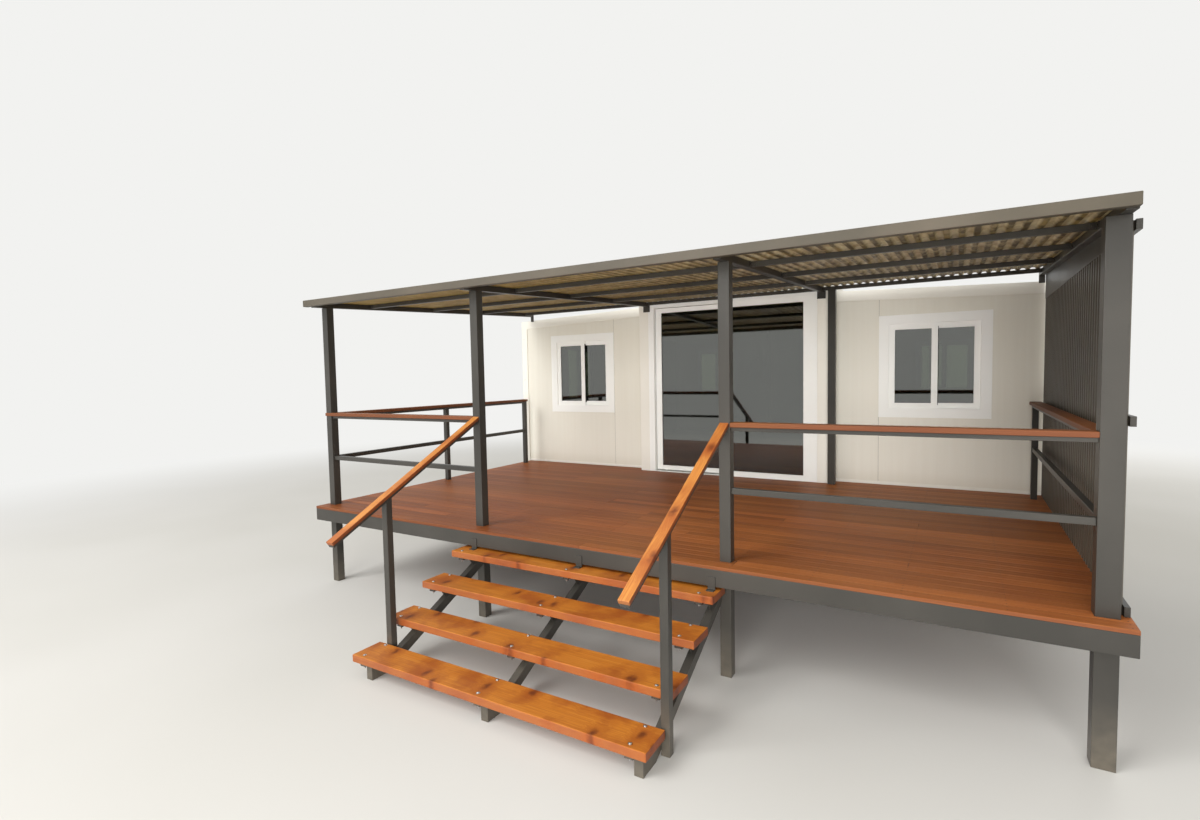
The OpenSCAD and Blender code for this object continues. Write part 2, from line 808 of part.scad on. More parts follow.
module screen_rails() placed() color(charcoal) {
  outer_x = screen_x + flashing_t + wave_h;
  for (z = [deck_z, (deck_z + screen_top - girt_h) / 2, screen_top - girt_h])
    block([outer_x, screen_y0, z], [outer_x + girt_t, screen_y1, z + girt_h]);
  along_x(screen_x, flashing_t, [
    [screen_y0, screen_top - girt_h], [screen_y1, screen_top - girt_h],
    [screen_y1, steel_top(screen_y1)], [screen_y0, steel_top(screen_y0)]
  ]);
}

// Rails

front_rail_y = post_front + post_w / 2;
left_rail_x = post_xs[0];
right_rail_x = post_xs[3] - corner_post_w / 2 + rail_post_w / 2;
side_rail_front = post_front + post_w;
right_rail_front = post_front + corner_post_w;
rail_back = back_limit - rail_end_gap;
back_post_y = rail_back - rail_post_w;
mid_post_y = (side_rail_front + back_post_y - rail_post_w) / 2;

module rail_post(x, y)
  block([x - rail_post_w / 2, y, deck_z], [x + rail_post_w / 2, y + rail_post_w, steel_rail_under]);

module rail_posts() placed() color(charcoal) {
  rail_post(left_rail_x, mid_post_y);
  rail_post(left_rail_x, back_post_y);
  rail_post(right_rail_x, back_post_y);
}

// A rail along X and a rail along Y, by their middle line, top and section
module rail_x(x0, x1, y, top, w, h) block([x0, y - w / 2, top - h], [x1, y + w / 2, top]);
module rail_y(x, y0, y1, top, w, h) block([x - w / 2, y0, top - h], [x + w / 2, y1, top]);

mid_rail_top = deck_z + mid_rail_h;
bays_x = [
  [post_xs[0] + post_w / 2, post_xs[1] - post_w / 2],
  [post_xs[2] + post_w / 2, post_xs[3] - corner_post_w / 2]
];

module steel_rails() placed() color(charcoal) {
  for (bay = bays_x) {
    rail_x(bay[0], bay[1], front_rail_y, steel_rail_top, top_rail_w, top_rail_h);
    rail_x(bay[0], bay[1], front_rail_y, mid_rail_top, mid_rail_w, mid_rail_w);
  }
  rail_y(left_rail_x, side_rail_front, rail_back, steel_rail_top, top_rail_w, top_rail_h);
  rail_y(right_rail_x, right_rail_front, rail_back, steel_rail_top, top_rail_w, top_rail_h);
  rail_y(left_rail_x, side_rail_front, mid_post_y, mid_rail_top, mid_rail_w, mid_rail_w);
  rail_y(left_rail_x, mid_post_y + rail_post_w, back_post_y, mid_rail_top, mid_rail_w, mid_rail_w);
  rail_y(right_rail_x, right_rail_front, back_post_y, mid_rail_top, mid_rail_w, mid_rail_w);
}

// The left cap laps round the corner post; the side caps butt against it
module front_rail_caps() placed() color(decking)
  difference() {
    union() {
      rail_x(left_rail_x - cap_w / 2, bays_x[0][1], front_rail_y, cap_top, cap_w, cap_t);
      rail_x(bays_x[1][0], bays_x[1][1], front_rail_y, cap_top, cap_w, cap_t);
    }
    block([post_xs[0] - post_w / 2, post_front, steel_rail_under],
          [post_xs[0] + post_w / 2, side_rail_front, cap_top + 1]);
  }

module side_rail_caps() placed() color(decking) {
  rail_y(left_rail_x, front_rail_y + cap_w / 2, rail_back, cap_top, cap_w, cap_t);
  rail_y(right_rail_x, right_rail_front, rail_back, cap_top, cap_w, cap_t);
}

// Stair

tread_ks = [1 : tread_n];
function tread_top(k) = k * rise;
function tread_y(k) = deck_front - top_tread_reach - (tread_n - k) * going;
tread_x0 = stair_x + tread_shift - tread_len / 2;
newel_xs = [post_xs[1], post_xs[2]];
stringer_xs = [
  newel_xs[0] + (newel_w + stringer_w) / 2,
  stair_x,
  newel_xs[1] - (newel_w + stringer_w) / 2
];

module stair_treads() placed() color(tread_wood)
  for (k = tread_ks)
    block([tread_x0, tread_y(k), tread_top(k) - tread_t],
          [tread_x0 + tread_len, tread_y(k) + tread_d, tread_top(k)]);

// The stringers' top edge meets the back corner under each tread's plate
stair_slope = atan(rise / going);
first_back = tread_y(1) + tread_d;
first_under = tread_top(1) - tread_t - bracket_t;
function stringer_top(y) = first_under + (y - first_back) * tan(stair_slope);
stringer_drop = stringer_h / cos(stair_slope);
stringer_foot = first_back - first_under / tan(stair_slope);

plate_d = tread_d - plate_inset;
// a plate's web narrows to this part of its depth, and enters the stringer by the weld
web_foot = 0.75;
weld = 1;

module stringer(x) {
  y1 = post_front;
  along_x(x - stringer_w / 2, stringer_w, [
    [stringer_foot, 0], [stringer_foot + stringer_drop / tan(stair_slope), 0],
    [y1, stringer_top(y1) - stringer_drop], [y1, stringer_top(y1)]
  ]);
  // a flat under each tread on a triangular web
  for (k = tread_ks) {
    back = tread_y(k) + tread_d;
    under = tread_top(k) - tread_t;
    foot = back - plate_d * web_foot;
    block([x - stringer_w / 2, back - plate_d, under - bracket_t], [x + stringer_w / 2, back, under]);
    along_x(x - bracket_t / 2, bracket_t, [
      [back - plate_d, under - bracket_t], [back, under - bracket_t],
      [back, under - bracket_t - weld], [foot, stringer_top(foot) - weld]
    ]);
  }
}

// Angles hold the top tread to the front bearer
module tread_angle(x) {
  z = tread_top(tread_n);
  along_x(x - stringer_w / 2, stringer_w, [
    [deck_front, z], [deck_front, z + tread_angle_h], [deck_front - bracket_t, z + tread_angle_h],
    [deck_front - bracket_t, z + bracket_t], [deck_front - tread_angle_d, z + bracket_t],
    [deck_front - tread_angle_d, z]
  ]);
}

module stair_stringers() placed() color(charcoal)
  for (x = stringer_xs) {
    stringer(x);
    tread_angle(x);
  }

// The top of a handrail over any Y
function handrail_top(y) = cap_top + (y - post_front) * tan(handrail_slope);
newel_y = deck_front - newel_reach;
handrail_drop = handrail_t / cos(handrail_slope);
flat_drop = handrail_flat / cos(handrail_slope);

module stair_newels() placed() color(charcoal)
  for (x = newel_xs) {
    y0 = newel_y - newel_w / 2;
    y1 = newel_y + newel_w / 2;
    under = handrail_drop + flat_drop;
    along_x(x - newel_w / 2, newel_w, [
      [y0, 0], [y1, 0], [y1, handrail_top(y1) - under], [y0, handrail_top(y0) - under]
    ]);
  }

// A timber rail on a steel flat, cut square at its low end and plumb at the post
module handrails() placed() color(tread_wood) {
  y0 = object_front;
  thick = handrail_t + handrail_flat;
  for (x = newel_xs) along_x(x - handrail_w / 2, handrail_w, [
    [y0, handrail_top(y0)], [post_front, handrail_top(post_front)],
    [post_front, handrail_top(post_front) - handrail_drop - flat_drop],
    [y0 + thick * sin(handrail_slope), handrail_top(y0) - thick * cos(handrail_slope)]
  ]);
}

cabin_stumps();
cabin_long_beams();
cabin_cross_beams();
cabin_floor();
centre_columns();
centre_roof_beams();
centre_roof();
left_front_wall();
right_front_wall();
left_side_wall();
right_side_wall();
back_walls();
wing_corner_trims();
wing_top_channels();
left_wing_roof();
right_wing_roof();
front_windows();
front_window_glass();
rear_windows();
rear_window_glass();
door_jambs();
door_head_and_sill();
fixed_door_panel();
fixed_door_glass();
sliding_door_panel();
sliding_door_glass();
deck_boards();
deck_bearers();
deck_joists();
deck_legs();
verandah_posts();
front_beam();
rafters();
purlins();
roof_sheets();
screen_rails();
screen_sheet();
rail_posts();
steel_rails();
front_rail_caps();
side_rail_caps();
stair_treads();
stair_stringers();
stair_newels();
handrails();
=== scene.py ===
# %% [markdown]
# # A fold-out container cabin with a verandah
#
# The cabin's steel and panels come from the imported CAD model. This script gives them their
# finishes, and adds what is too small or too many for the model: deck boards, bolts, screws,
# seals, joints, flashings and laps. The frame is loaded first, because every later piece takes
# its place from a CAD node and rides on one of its two bodies, cabin and sliding_door.

# %% Load the frame
import math
import random

import bmesh
import bpy
from mathutils import Matrix, Vector


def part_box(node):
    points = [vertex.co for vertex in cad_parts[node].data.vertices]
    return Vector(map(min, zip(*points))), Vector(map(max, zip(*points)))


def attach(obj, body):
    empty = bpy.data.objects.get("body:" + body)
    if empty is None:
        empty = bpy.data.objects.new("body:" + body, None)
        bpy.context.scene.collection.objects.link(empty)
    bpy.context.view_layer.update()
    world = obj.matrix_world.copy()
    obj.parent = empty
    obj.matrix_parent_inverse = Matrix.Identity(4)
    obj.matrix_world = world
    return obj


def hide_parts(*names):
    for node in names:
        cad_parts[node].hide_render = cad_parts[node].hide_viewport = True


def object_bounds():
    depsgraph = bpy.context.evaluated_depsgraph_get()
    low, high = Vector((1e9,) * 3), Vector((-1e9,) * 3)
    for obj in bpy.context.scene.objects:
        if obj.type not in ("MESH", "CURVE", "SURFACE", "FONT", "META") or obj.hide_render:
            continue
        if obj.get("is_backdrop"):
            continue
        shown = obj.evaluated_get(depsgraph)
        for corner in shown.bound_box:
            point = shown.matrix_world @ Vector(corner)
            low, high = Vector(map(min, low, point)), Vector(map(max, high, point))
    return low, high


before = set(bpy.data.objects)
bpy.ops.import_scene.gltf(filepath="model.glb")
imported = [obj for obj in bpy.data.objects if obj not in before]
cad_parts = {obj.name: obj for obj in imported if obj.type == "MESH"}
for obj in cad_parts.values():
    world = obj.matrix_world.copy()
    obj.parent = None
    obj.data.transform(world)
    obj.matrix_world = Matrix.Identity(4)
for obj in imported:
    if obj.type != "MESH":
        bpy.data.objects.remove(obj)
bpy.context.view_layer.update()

# %% [markdown]
# ## Where the pieces are
#
# Bolts and seals are placed from the steel that holds them. A CAD node often has several
# solids, such as the four treads, so this helper walks from vertex to vertex along the edges
# and measures each solid by itself. Reading the frame keeps the details in place when the
# part's own sizes change.

# %% Measure the solids of a node
# Corners that are closer than this, in metres, are one corner.
WELD_DISTANCE = 1e-5


def corners(vertices):
    """Lowest and highest corner of some vertices."""
    low = Vector(min(v.co[axis] for v in vertices) for axis in range(3))
    high = Vector(max(v.co[axis] for v in vertices) for axis in range(3))
    return low, high


def solids(node):
    """The corners of each separate solid of a CAD node, front to back and left to right."""
    bm = bmesh.new()
    bm.from_mesh(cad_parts[node].data)
    bmesh.ops.remove_doubles(bm, verts=bm.verts, dist=WELD_DISTANCE)
    waiting = set(bm.verts)
    found = []
    while waiting:
        reached = [waiting.pop()]
        for vertex in reached:
            for edge in vertex.link_edges:
                other = edge.other_vert(vertex)
                if other in waiting:
                    waiting.remove(other)
                    reached.append(other)
        found.append(corners(reached))
    bm.free()
    return sorted(found, key=lambda pair: (round(pair[0].y, 3), round(pair[0].x, 3), pair[0].z))


deck_low, deck_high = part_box("deck_boards")
roof_low, roof_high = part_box("roof_sheets")
for name in ("stair_treads", "purlins", "deck_joists", "verandah_posts"):
    print(name, len(solids(name)), "solids")

# %% [markdown]
# ## The camera
#
# The camera stands in front of the stair's right side at eye height. The place, the three
# angles and the focal length were fitted to about forty points of the cabin, so the picture
# nearly lines up with the photograph without any shift of the lens. It fits least well at the
# back wall. The distance is measured from the deck's front edge.

# %% Camera
CAMERA_X, CAMERA_Z = 2.36, 1.996
CAMERA_FROM_DECK = 3.602
YAW, PITCH, ROLL = 0.537, -0.057, -0.019
PICTURE_W = 1200
FOCAL_PIXELS = 602.6
SENSOR_W = 36.0

camera_place = Vector((CAMERA_X, deck_low.y - CAMERA_FROM_DECK, CAMERA_Z))
forward = Vector((-math.sin(YAW) * math.cos(PITCH), math.cos(YAW) * math.cos(PITCH), math.sin(PITCH)))
level_right = Vector((math.cos(YAW), math.sin(YAW), 0))
level_up = level_right.cross(forward)
right = level_right * math.cos(ROLL) + level_up * math.sin(ROLL)
up = level_up * math.cos(ROLL) - level_right * math.sin(ROLL)

camera = bpy.data.objects.new("camera", bpy.data.cameras.new("camera"))
camera.data.sensor_width = SENSOR_W
camera.data.lens = SENSOR_W * FOCAL_PIXELS / PICTURE_W
camera.matrix_world = Matrix.Translation(camera_place) @ Matrix((right, up, -forward)).transposed().to_4x4()
bpy.context.scene.collection.objects.link(camera)
bpy.context.scene.camera = camera
print("lens", round(camera.data.lens, 2), "mm")

# %% [markdown]
# ## Node materials
#
# Every finish is one Principled shader fed by procedural patterns. A few small helpers keep the
# recipes short: hex colours are turned to linear light in one place, one function adds any
# node with its settings and links, and a pattern's scale is written as a size in millimetres.
# Streaks are noise whose repeat has its own length along each of three axes, which may be
# turned to follow a sloping board.

# %% Material helpers


def linear(colour):
    """A hex colour as linear red, green, blue and alpha."""
    shares = [int(colour[k:k + 2], 16) / 255 for k in (1, 3, 5)]
    return [s / 12.92 if s <= 0.04045 else ((s + 0.055) / 1.055) ** 2.4 for s in shares] + [1.0]


def per_mm(size):
    """The texture scale at which one repeat is this many millimetres."""
    return 1000 / size


def add(tree, kind, inputs=None, stops=(), **settings):
    """Adds a node. Inputs are values or other nodes' outputs, and stops are a ramp's colours."""
    node = tree.nodes.new("ShaderNode" + kind)
    for name, value in settings.items():
        setattr(node, name, value)
    for number, (position, colour) in enumerate(stops):
        elements = node.color_ramp.elements
        element = elements[number] if number < 2 else elements.new(position)
        element.position = position
        element.color = linear(colour)
    for socket, value in (inputs or {}).items():
        if isinstance(value, bpy.types.NodeSocket):
            tree.links.new(value, node.inputs[socket])
        else:
            node.inputs[socket].default_value = value
    return node


def start(name, **sockets):
    """A new material, its tree, its shader and the Object coordinates."""
    material = bpy.data.materials.new(name)
    material.use_nodes = True
    tree = material.node_tree
    shader = tree.nodes["Principled BSDF"]
    for socket, value in sockets.items():
        shader.inputs[socket.replace("_", " ")].default_value = value
    return material, tree, shader, add(tree, "TexCoord").outputs["Object"]


def streaks(tree, place, size, detail=3.0, turn=(0, 0, 0), shift=0.0):
    """Noise whose repeat measures size, in millimetres, along X, Y and Z turned by turn."""
    laid = add(tree, "Mapping", {"Vector": place, "Rotation": turn, "Scale": [s / 1000 for s in size]},
               vector_type="TEXTURE")
    return add(tree, "TexNoise", {"Vector": laid.outputs["Vector"], "W": shift, "Scale": 1.0,
                                  "Detail": detail, "Roughness": 0.6}, noise_dimensions="4D").outputs["Fac"]


def tinted(tree, share, below, over):
    """Mixes two colours, which may be hex values or other nodes' outputs, by a share."""
    below, over = (linear(c) if isinstance(c, str) else c for c in (below, over))
    return add(tree, "Mix", {"Factor": share, 6: below, 7: over}, data_type="RGBA").outputs[2]


def dress(tree, shader, colour, roughness=None, height=None, depth=0.001):
    """Links a colour, a roughness and a bump of a real depth in metres to the shader."""
    tree.links.new(colour, shader.inputs["Base Color"])
    if roughness:
        tree.links.new(roughness, shader.inputs["Roughness"])
    if height:
        bump = add(tree, "Bump", {"Distance": depth, "Height": height})
        tree.links.new(bump.outputs["Normal"], shader.inputs["Normal"])


# %% [markdown]
# ## Powder-coated steel
#
# The verandah's tubes are mild steel with a baked polyester powder, a satin charcoal with a
# warm cast. The powder melts into a faint orange peel, and rain leaves dust on the lowest
# stretch. The peel is about 2 mm on the real thing, and is drawn at 7 mm so that it shows.
# The same recipe with pale colours makes the cabin's own painted steel and its frames.

# %% Painted steel


def painted_steel(name, colour, faded, gloss, dust="#8d8270", foot=(0.0, 0.35), amount=0.5):
    """Paint with soft fading, orange peel, and dust that thins out between two heights."""
    material, tree, shader, place = start(name)
    cloud = add(tree, "TexNoise", {"Vector": place, "Scale": per_mm(700), "Detail": 4.0}).outputs["Fac"]
    tint = add(tree, "ValToRGB", {"Fac": cloud}, [(0.35, colour), (0.68, faded)]).outputs["Color"]
    height = add(tree, "SeparateXYZ", {"Vector": place}).outputs["Z"]
    fall = add(tree, "MapRange", {"Value": height, "From Min": foot[0], "From Max": foot[1],
                                  "To Min": amount, "To Max": 0.0})
    speck = add(tree, "TexNoise", {"Vector": place, "Scale": per_mm(60), "Detail": 6.0})
    dusty = add(tree, "Math", {0: fall.outputs["Result"], 1: speck.outputs["Fac"]}, operation="MULTIPLY")
    peel = add(tree, "TexNoise", {"Vector": place, "Scale": per_mm(7), "Detail": 2.0})
    sheen = add(tree, "MapRange", {"Value": cloud, "To Min": gloss - 0.07, "To Max": gloss + 0.1})
    dress(tree, shader, tinted(tree, dusty.outputs["Value"], tint, dust), sheen.outputs["Result"],
          peel.outputs["Fac"], 0.0003)
    return material


charcoal_coat = painted_steel("powder_coated_charcoal", "#32302c", "#3f3c37", 0.38)
screen_coat = painted_steel("powder_coated_brown_grey", "#47423a", "#565045", 0.34)
fascia_coat = painted_steel("powder_coated_bronze_grey", "#494338", "#585044", 0.5)
white_steel = painted_steel("cream_painted_steel", "#efece1", "#f4f1e7", 0.38, foot=(0.5, 1.1), amount=0.3)
white_frame = painted_steel("white_coated_aluminium", "#f8f9f4", "#fbfbf8", 0.30, foot=(0.75, 0.95),
                            amount=0.15)
print("painted steel in five colours")

# %% [markdown]
# ## Sandwich panels
#
# The walls are foam boards faced with prepainted steel sheet. Thin sheet is never quite flat:
# it swells and sinks by fractions of a millimetre over a hand's width, which bends the
# highlights. The roof side is the same sheet, only dustier.

# %% Wall and floor panels


def sandwich_panel(name, colour, shade, stain, foot):
    """Prepainted sheet with slow waves, faint vertical rolling marks and a dusty foot."""
    material, tree, shader, place = start(name)
    wave = add(tree, "TexNoise", {"Vector": place, "Scale": per_mm(320), "Detail": 2.0}).outputs["Fac"]
    rolled = streaks(tree, place, (40, 40, 1600))
    tint = add(tree, "ValToRGB", {"Fac": rolled}, [(0.2, shade), (0.75, colour)]).outputs["Color"]
    height = add(tree, "SeparateXYZ", {"Vector": place}).outputs["Z"]
    fall = add(tree, "MapRange", {"Value": height, "From Min": foot[0], "From Max": foot[1],
                                  "To Min": 0.35, "To Max": 0.0})
    sheen = add(tree, "MapRange", {"Value": wave, "To Min": 0.34, "To Max": 0.5})
    dress(tree, shader, tinted(tree, fall.outputs["Result"], tint, stain), sheen.outputs["Result"],
          wave, 0.003)
    return material


def plank_vinyl():
    """Printed vinyl boards 150 mm wide on the floor, whose edges are cream steel."""
    material, tree, shader, place = start("plank_vinyl")
    boards = add(tree, "TexBrick", {"Vector": place, "Scale": 1.0, "Color1": linear("#a58c6c"),
                                    "Color2": linear("#8f7757"), "Mortar": linear("#5d4c38"),
                                    "Mortar Size": 0.002, "Brick Width": 1.2, "Row Height": 0.15})
    grain = streaks(tree, place, (500, 8, 8), 5.0)
    shade = add(tree, "ValToRGB", {"Fac": grain}, [(0.3, "#b9b0a4"), (0.7, "#ffffff")])
    mixed = add(tree, "Mix", {"Factor": 1.0, 6: boards.outputs["Color"], 7: shade.outputs["Color"]},
                data_type="RGBA", blend_type="MULTIPLY")
    facing = add(tree, "SeparateXYZ", {"Vector": add(tree, "TexCoord").outputs["Normal"]}).outputs["Z"]
    top = add(tree, "MapRange", {"Value": facing, "From Min": 0.3, "From Max": 0.8}).outputs["Result"]
    sheen = add(tree, "MapRange", {"Value": grain, "To Min": 0.3, "To Max": 0.5})
    dress(tree, shader, tinted(tree, top, "#ece7da", mixed.outputs[2]), sheen.outputs["Result"],
          grain, 0.0003)
    return material


wall_panel = sandwich_panel("prepainted_wall_panel", "#eae7db", "#e6e2d5", "#cdc4b0", (0.76, 0.92))
roof_panel = sandwich_panel("prepainted_roof_panel", "#e2ddd0", "#cfc9ba", "#b9ae9a", (2.6, 2.9))
floor_vinyl = plank_vinyl()
print("panels and floor")

# %% [markdown]
# ## Oiled hardwood and stained pine
#
# The deck is a red-brown hardwood under oil, and each board has its own tone, which a face
# attribute called board_tone carries. The rails' caps are the same wood with a browner oil. The
# treads and handrails are pine with an orange stain. It soaks in deeper round the knots and in
# the soft early wood, so they are blotched. On all of these timbers the faces that do not look
# up are painted browner, as painted shade. On the pine, faces that look along X are painted
# darkest, as painted shade: on the treads these are the sawn ends, on the handrails the long
# sides. Wood grain is noise stretched along the board: streaks about a hand long and a few
# millimetres wide. Knots go right through a board, so their cells are flat ones, 210 by 400 mm,
# seen from above. That makes each knot longer across the board, where the branch ran, and a
# little noise tears its edge.

# %% Timber
KNOT_CELL = (0.21, 0.40, 1.0)
# The slope of the CAD model's handrails. Their grain follows it, and their timbers lie on it.
RAIL_SLOPE = math.radians(26.9)


def oiled_hardwood(name, stops, tone_range, size=(520, 7, 7)):
    """Red-brown hardwood whose boards differ by their board_tone."""
    material, tree, shader, place = start(name, Specular_IOR_Level=0.2)
    tone = add(tree, "Attribute", attribute_name="board_tone").outputs["Fac"]
    shift = add(tree, "Math", {0: tone, 1: 50.0}, operation="MULTIPLY").outputs["Value"]
    grain = streaks(tree, place, size, 7.0, shift=shift)
    colour = add(tree, "ValToRGB", {"Fac": grain}, stops).outputs["Color"]
    faded = add(tree, "TexNoise", {"Vector": place, "Scale": per_mm(1600), "Detail": 2.0}).outputs["Fac"]
    patch = add(tree, "MapRange", {"Value": faded, "From Min": 0.42, "From Max": 0.68, "To Max": 0.5})
    warmed = tinted(tree, patch.outputs["Result"], colour, "#a86a34")
    light = add(tree, "MapRange", {"Value": tone, "To Min": tone_range[0], "To Max": tone_range[1]})
    toned = add(tree, "HueSaturation", {"Value": light.outputs["Result"], "Color": warmed})
    # Faces that do not look up are painted darker brown: painted shade on the sides of the boards.
    facing = add(tree, "SeparateXYZ", {"Vector": add(tree, "TexCoord").outputs["Normal"]}).outputs["Z"]
    side = add(tree, "MapRange", {"Value": facing, "From Min": 0.3, "From Max": 0.8, "To Min": 0.7,
                                  "To Max": 0.0}).outputs["Result"]
    painted_side_shade = tinted(tree, side, toned.outputs["Color"], "#643c2a")
    sheen = add(tree, "MapRange", {"Value": grain, "To Min": 0.42, "To Max": 0.62})
    dress(tree, shader, painted_side_shade, sheen.outputs["Result"], grain, 0.0008)
    return material


def stained_pine(name, size, turn, stops, blotch, edge):
    """Orange-stained pine with knots and blotches, painted shade on faces that do not look up, and darker
    painted shade on faces along X.
    """
    material, tree, shader, place = start(name)
    rough = add(tree, "TexNoise", {"Vector": place, "Scale": per_mm(45), "Detail": 3.0}).outputs["Color"]
    ragged = add(tree, "VectorMath", {0: rough, 1: (0.05, 0.05, 0.0)}, operation="MULTIPLY").outputs["Vector"]
    torn = add(tree, "VectorMath", {0: place, 1: ragged}, operation="ADD").outputs["Vector"]
    cells = add(tree, "Mapping", {"Vector": torn, "Scale": KNOT_CELL}, vector_type="TEXTURE")
    near = add(tree, "TexVoronoi", {"Vector": cells.outputs["Vector"], "Scale": 1.0, "Randomness": 1.0},
               voronoi_dimensions="2D").outputs["Distance"]
    knot = add(tree, "MapRange", {"Value": near, "From Min": 0.03, "From Max": 0.13, "To Min": 0.8,
                                  "To Max": 0.0}).outputs["Result"]
    halo = add(tree, "MapRange", {"Value": near, "From Min": 0.08, "From Max": 0.42, "To Min": 0.55,
                                  "To Max": 0.0}).outputs["Result"]
    pull = add(tree, "MapRange", {"Value": near, "From Min": 0.0, "From Max": 0.4, "To Min": 0.03,
                                  "To Max": 0.0}).outputs["Result"]
    bent = add(tree, "VectorMath", {0: place, 1: pull}, operation="ADD").outputs["Vector"]
    grain = streaks(tree, bent, size, 6.0, turn)
    colour = add(tree, "ValToRGB", {"Fac": grain}, stops).outputs["Color"]
    cloud = add(tree, "TexNoise", {"Vector": place, "Scale": per_mm(210), "Detail": 4.0}).outputs["Fac"]
    soaked = add(tree, "MapRange", {"Value": cloud, "From Min": 0.46, "From Max": 0.66, "To Max": 0.75})
    stained = tinted(tree, soaked.outputs["Result"], colour, blotch)
    # Faces that do not look up are painted browner: painted shade on the fronts and undersides.
    facing = add(tree, "SeparateXYZ", {"Vector": add(tree, "TexCoord").outputs["Normal"]})
    side = add(tree, "MapRange", {"Value": facing.outputs["Z"], "From Min": 0.3, "From Max": 0.8,
                                  "To Min": 0.75, "To Max": 0.0}).outputs["Result"]
    # Faces that look along X are painted darkest: painted shade on the treads' sawn ends and the handrails'
    # long sides.
    across = add(tree, "Math", {0: facing.outputs["X"]}, operation="ABSOLUTE").outputs["Value"]
    x_face_shade_share = add(tree, "MapRange", {"Value": across, "From Min": 0.5, "From Max": 0.9, "To Max": 0.8})
    painted_side_shade = tinted(tree, side, stained, edge)
    painted_x_face_shade = tinted(tree, x_face_shade_share.outputs["Result"], painted_side_shade, "#6b3218")
    darkened = tinted(tree, halo, painted_x_face_shade, blotch)
    sheen = add(tree, "MapRange", {"Value": grain, "To Min": 0.42, "To Max": 0.6})
    dress(tree, shader, tinted(tree, knot, darkened, "#5b260f"), sheen.outputs["Result"], grain, 0.0010)
    return material


deck_wood = oiled_hardwood("oiled_hardwood_decking", [(0.25, "#6c3518"), (0.75, "#b3713c"), (0.5, "#945229")],
                           (0.74, 1.26))
cap_stops = [(0.25, "#65381f"), (0.75, "#8f5c3b"), (0.5, "#7a492e")]
cap_wood = oiled_hardwood("oiled_hardwood_caps", cap_stops, (1.0, 1.0))
side_cap_wood = oiled_hardwood("oiled_hardwood_side_caps", cap_stops, (1.0, 1.0), (7, 520, 7))
# The last colour of each pine is the painted shade of its faces that do not look up.
pine = stained_pine("stained_pine_treads", (420, 9, 9), (0, 0, 0),
                    [(0.28, "#ae6521"), (0.72, "#d48c37"), (0.5, "#c27524")], "#964816", "#82462a")
rail_pine = stained_pine("stained_pine_handrails", (7, 420, 7), (RAIL_SLOPE, 0, 0),
                         [(0.28, "#a8602a"), (0.72, "#d6964c"), (0.5, "#c07c38")], "#9a4e20", "#7c4626")
print("five timbers")

# %% [markdown]
# ## Bronze roof sheet
#
# The verandah's roof is a corrugated translucent sheet with a bronze tint. Its colour holds
# painted light. The crests are painted pale, a painted glow of daylight through them, and the
# pans brown. A noise over both paints dapples of sunlight, strongest on the right half; to the
# left the sheet is a smoother golden bronze. The same noise sets the roughness and bump. The
# pattern follows the corrugations, so it is worked out from their pitch, which the starts of two
# neighbouring sheets give. Rough transmission carries some daylight through.

# %% Roof sheet
WAVES_PER_SHEET = 10
sheets = solids("roof_sheets")
sheet_starts = sorted(low.x for low, _ in sheets)
WAVE_PITCH = (sheet_starts[1] - sheet_starts[0]) / WAVES_PER_SHEET


def translucent_sheet():
    """Bronze sheet with a painted glow on its crests, brown pans and painted dapples of sunlight."""
    material, tree, shader, place = start("bronze_polycarbonate", Transmission_Weight=0.35, IOR=1.58)
    along = add(tree, "SeparateXYZ", {"Vector": place}).outputs["X"]
    waves = add(tree, "MapRange", {"Value": along, "From Min": roof_low.x,
                                   "From Max": roof_low.x + WAVE_PITCH}, clamp=False).outputs["Result"]
    share = add(tree, "Math", {0: waves}, operation="FRACT").outputs["Value"]
    # The crests are painted pale: a painted glow of daylight through the sheet.
    crest = add(tree, "ValToRGB", {"Fac": share}, [(0.30, "#000000"), (0.42, "#ffffff"), (0.86, "#ffffff"),
                                                  (0.98, "#000000")]).outputs["Color"]
    # This noise paints dapples of sunlight on crests and pans. It also sets the roughness and bump.
    painted_dapples = streaks(tree, place, (70, 130, 70), 3.0)
    pan = add(tree, "ValToRGB", {"Fac": painted_dapples}, [(0.42, "#b39c58"), (0.56, "#5b4a1c")]).outputs["Color"]
    top = add(tree, "ValToRGB", {"Fac": painted_dapples}, [(0.38, "#f5ebc6"), (0.66, "#c0ad7a")]).outputs["Color"]
    colour = tinted(tree, crest, pan, top)
    # Towards the left, the painted dapples give way to an even golden bronze.
    undappled_left = add(tree, "MapRange", {"Value": along, "From Min": -1.2, "From Max": 0.9, "To Min": 0.7,
                                   "To Max": 0.0}).outputs["Result"]
    sheen = add(tree, "MapRange", {"Value": painted_dapples, "To Min": 0.3, "To Max": 0.6})
    dress(tree, shader, tinted(tree, undappled_left, colour, "#c6ad5e"), sheen.outputs["Result"], painted_dapples, 0.0006)
    return material


bronze_sheet = translucent_sheet()
print("roof sheet, crests every", round(WAVE_PITCH * 1000, 1), "mm")

# %% [markdown]
# ## Glass, zinc and rubber
#
# The panes are grey-green toughened float glass with a reflective coating, so they mirror the
# bright surroundings more than plain glass does. Rolling and heating leave slow waves in it,
# so that reflections wander. Bolts and screws are zinc plated, the stumps are hot-dip
# galvanised with a spangle of crystals about 12 mm wide, and the seals are black rubber.

# %% Glass, metal and rubber


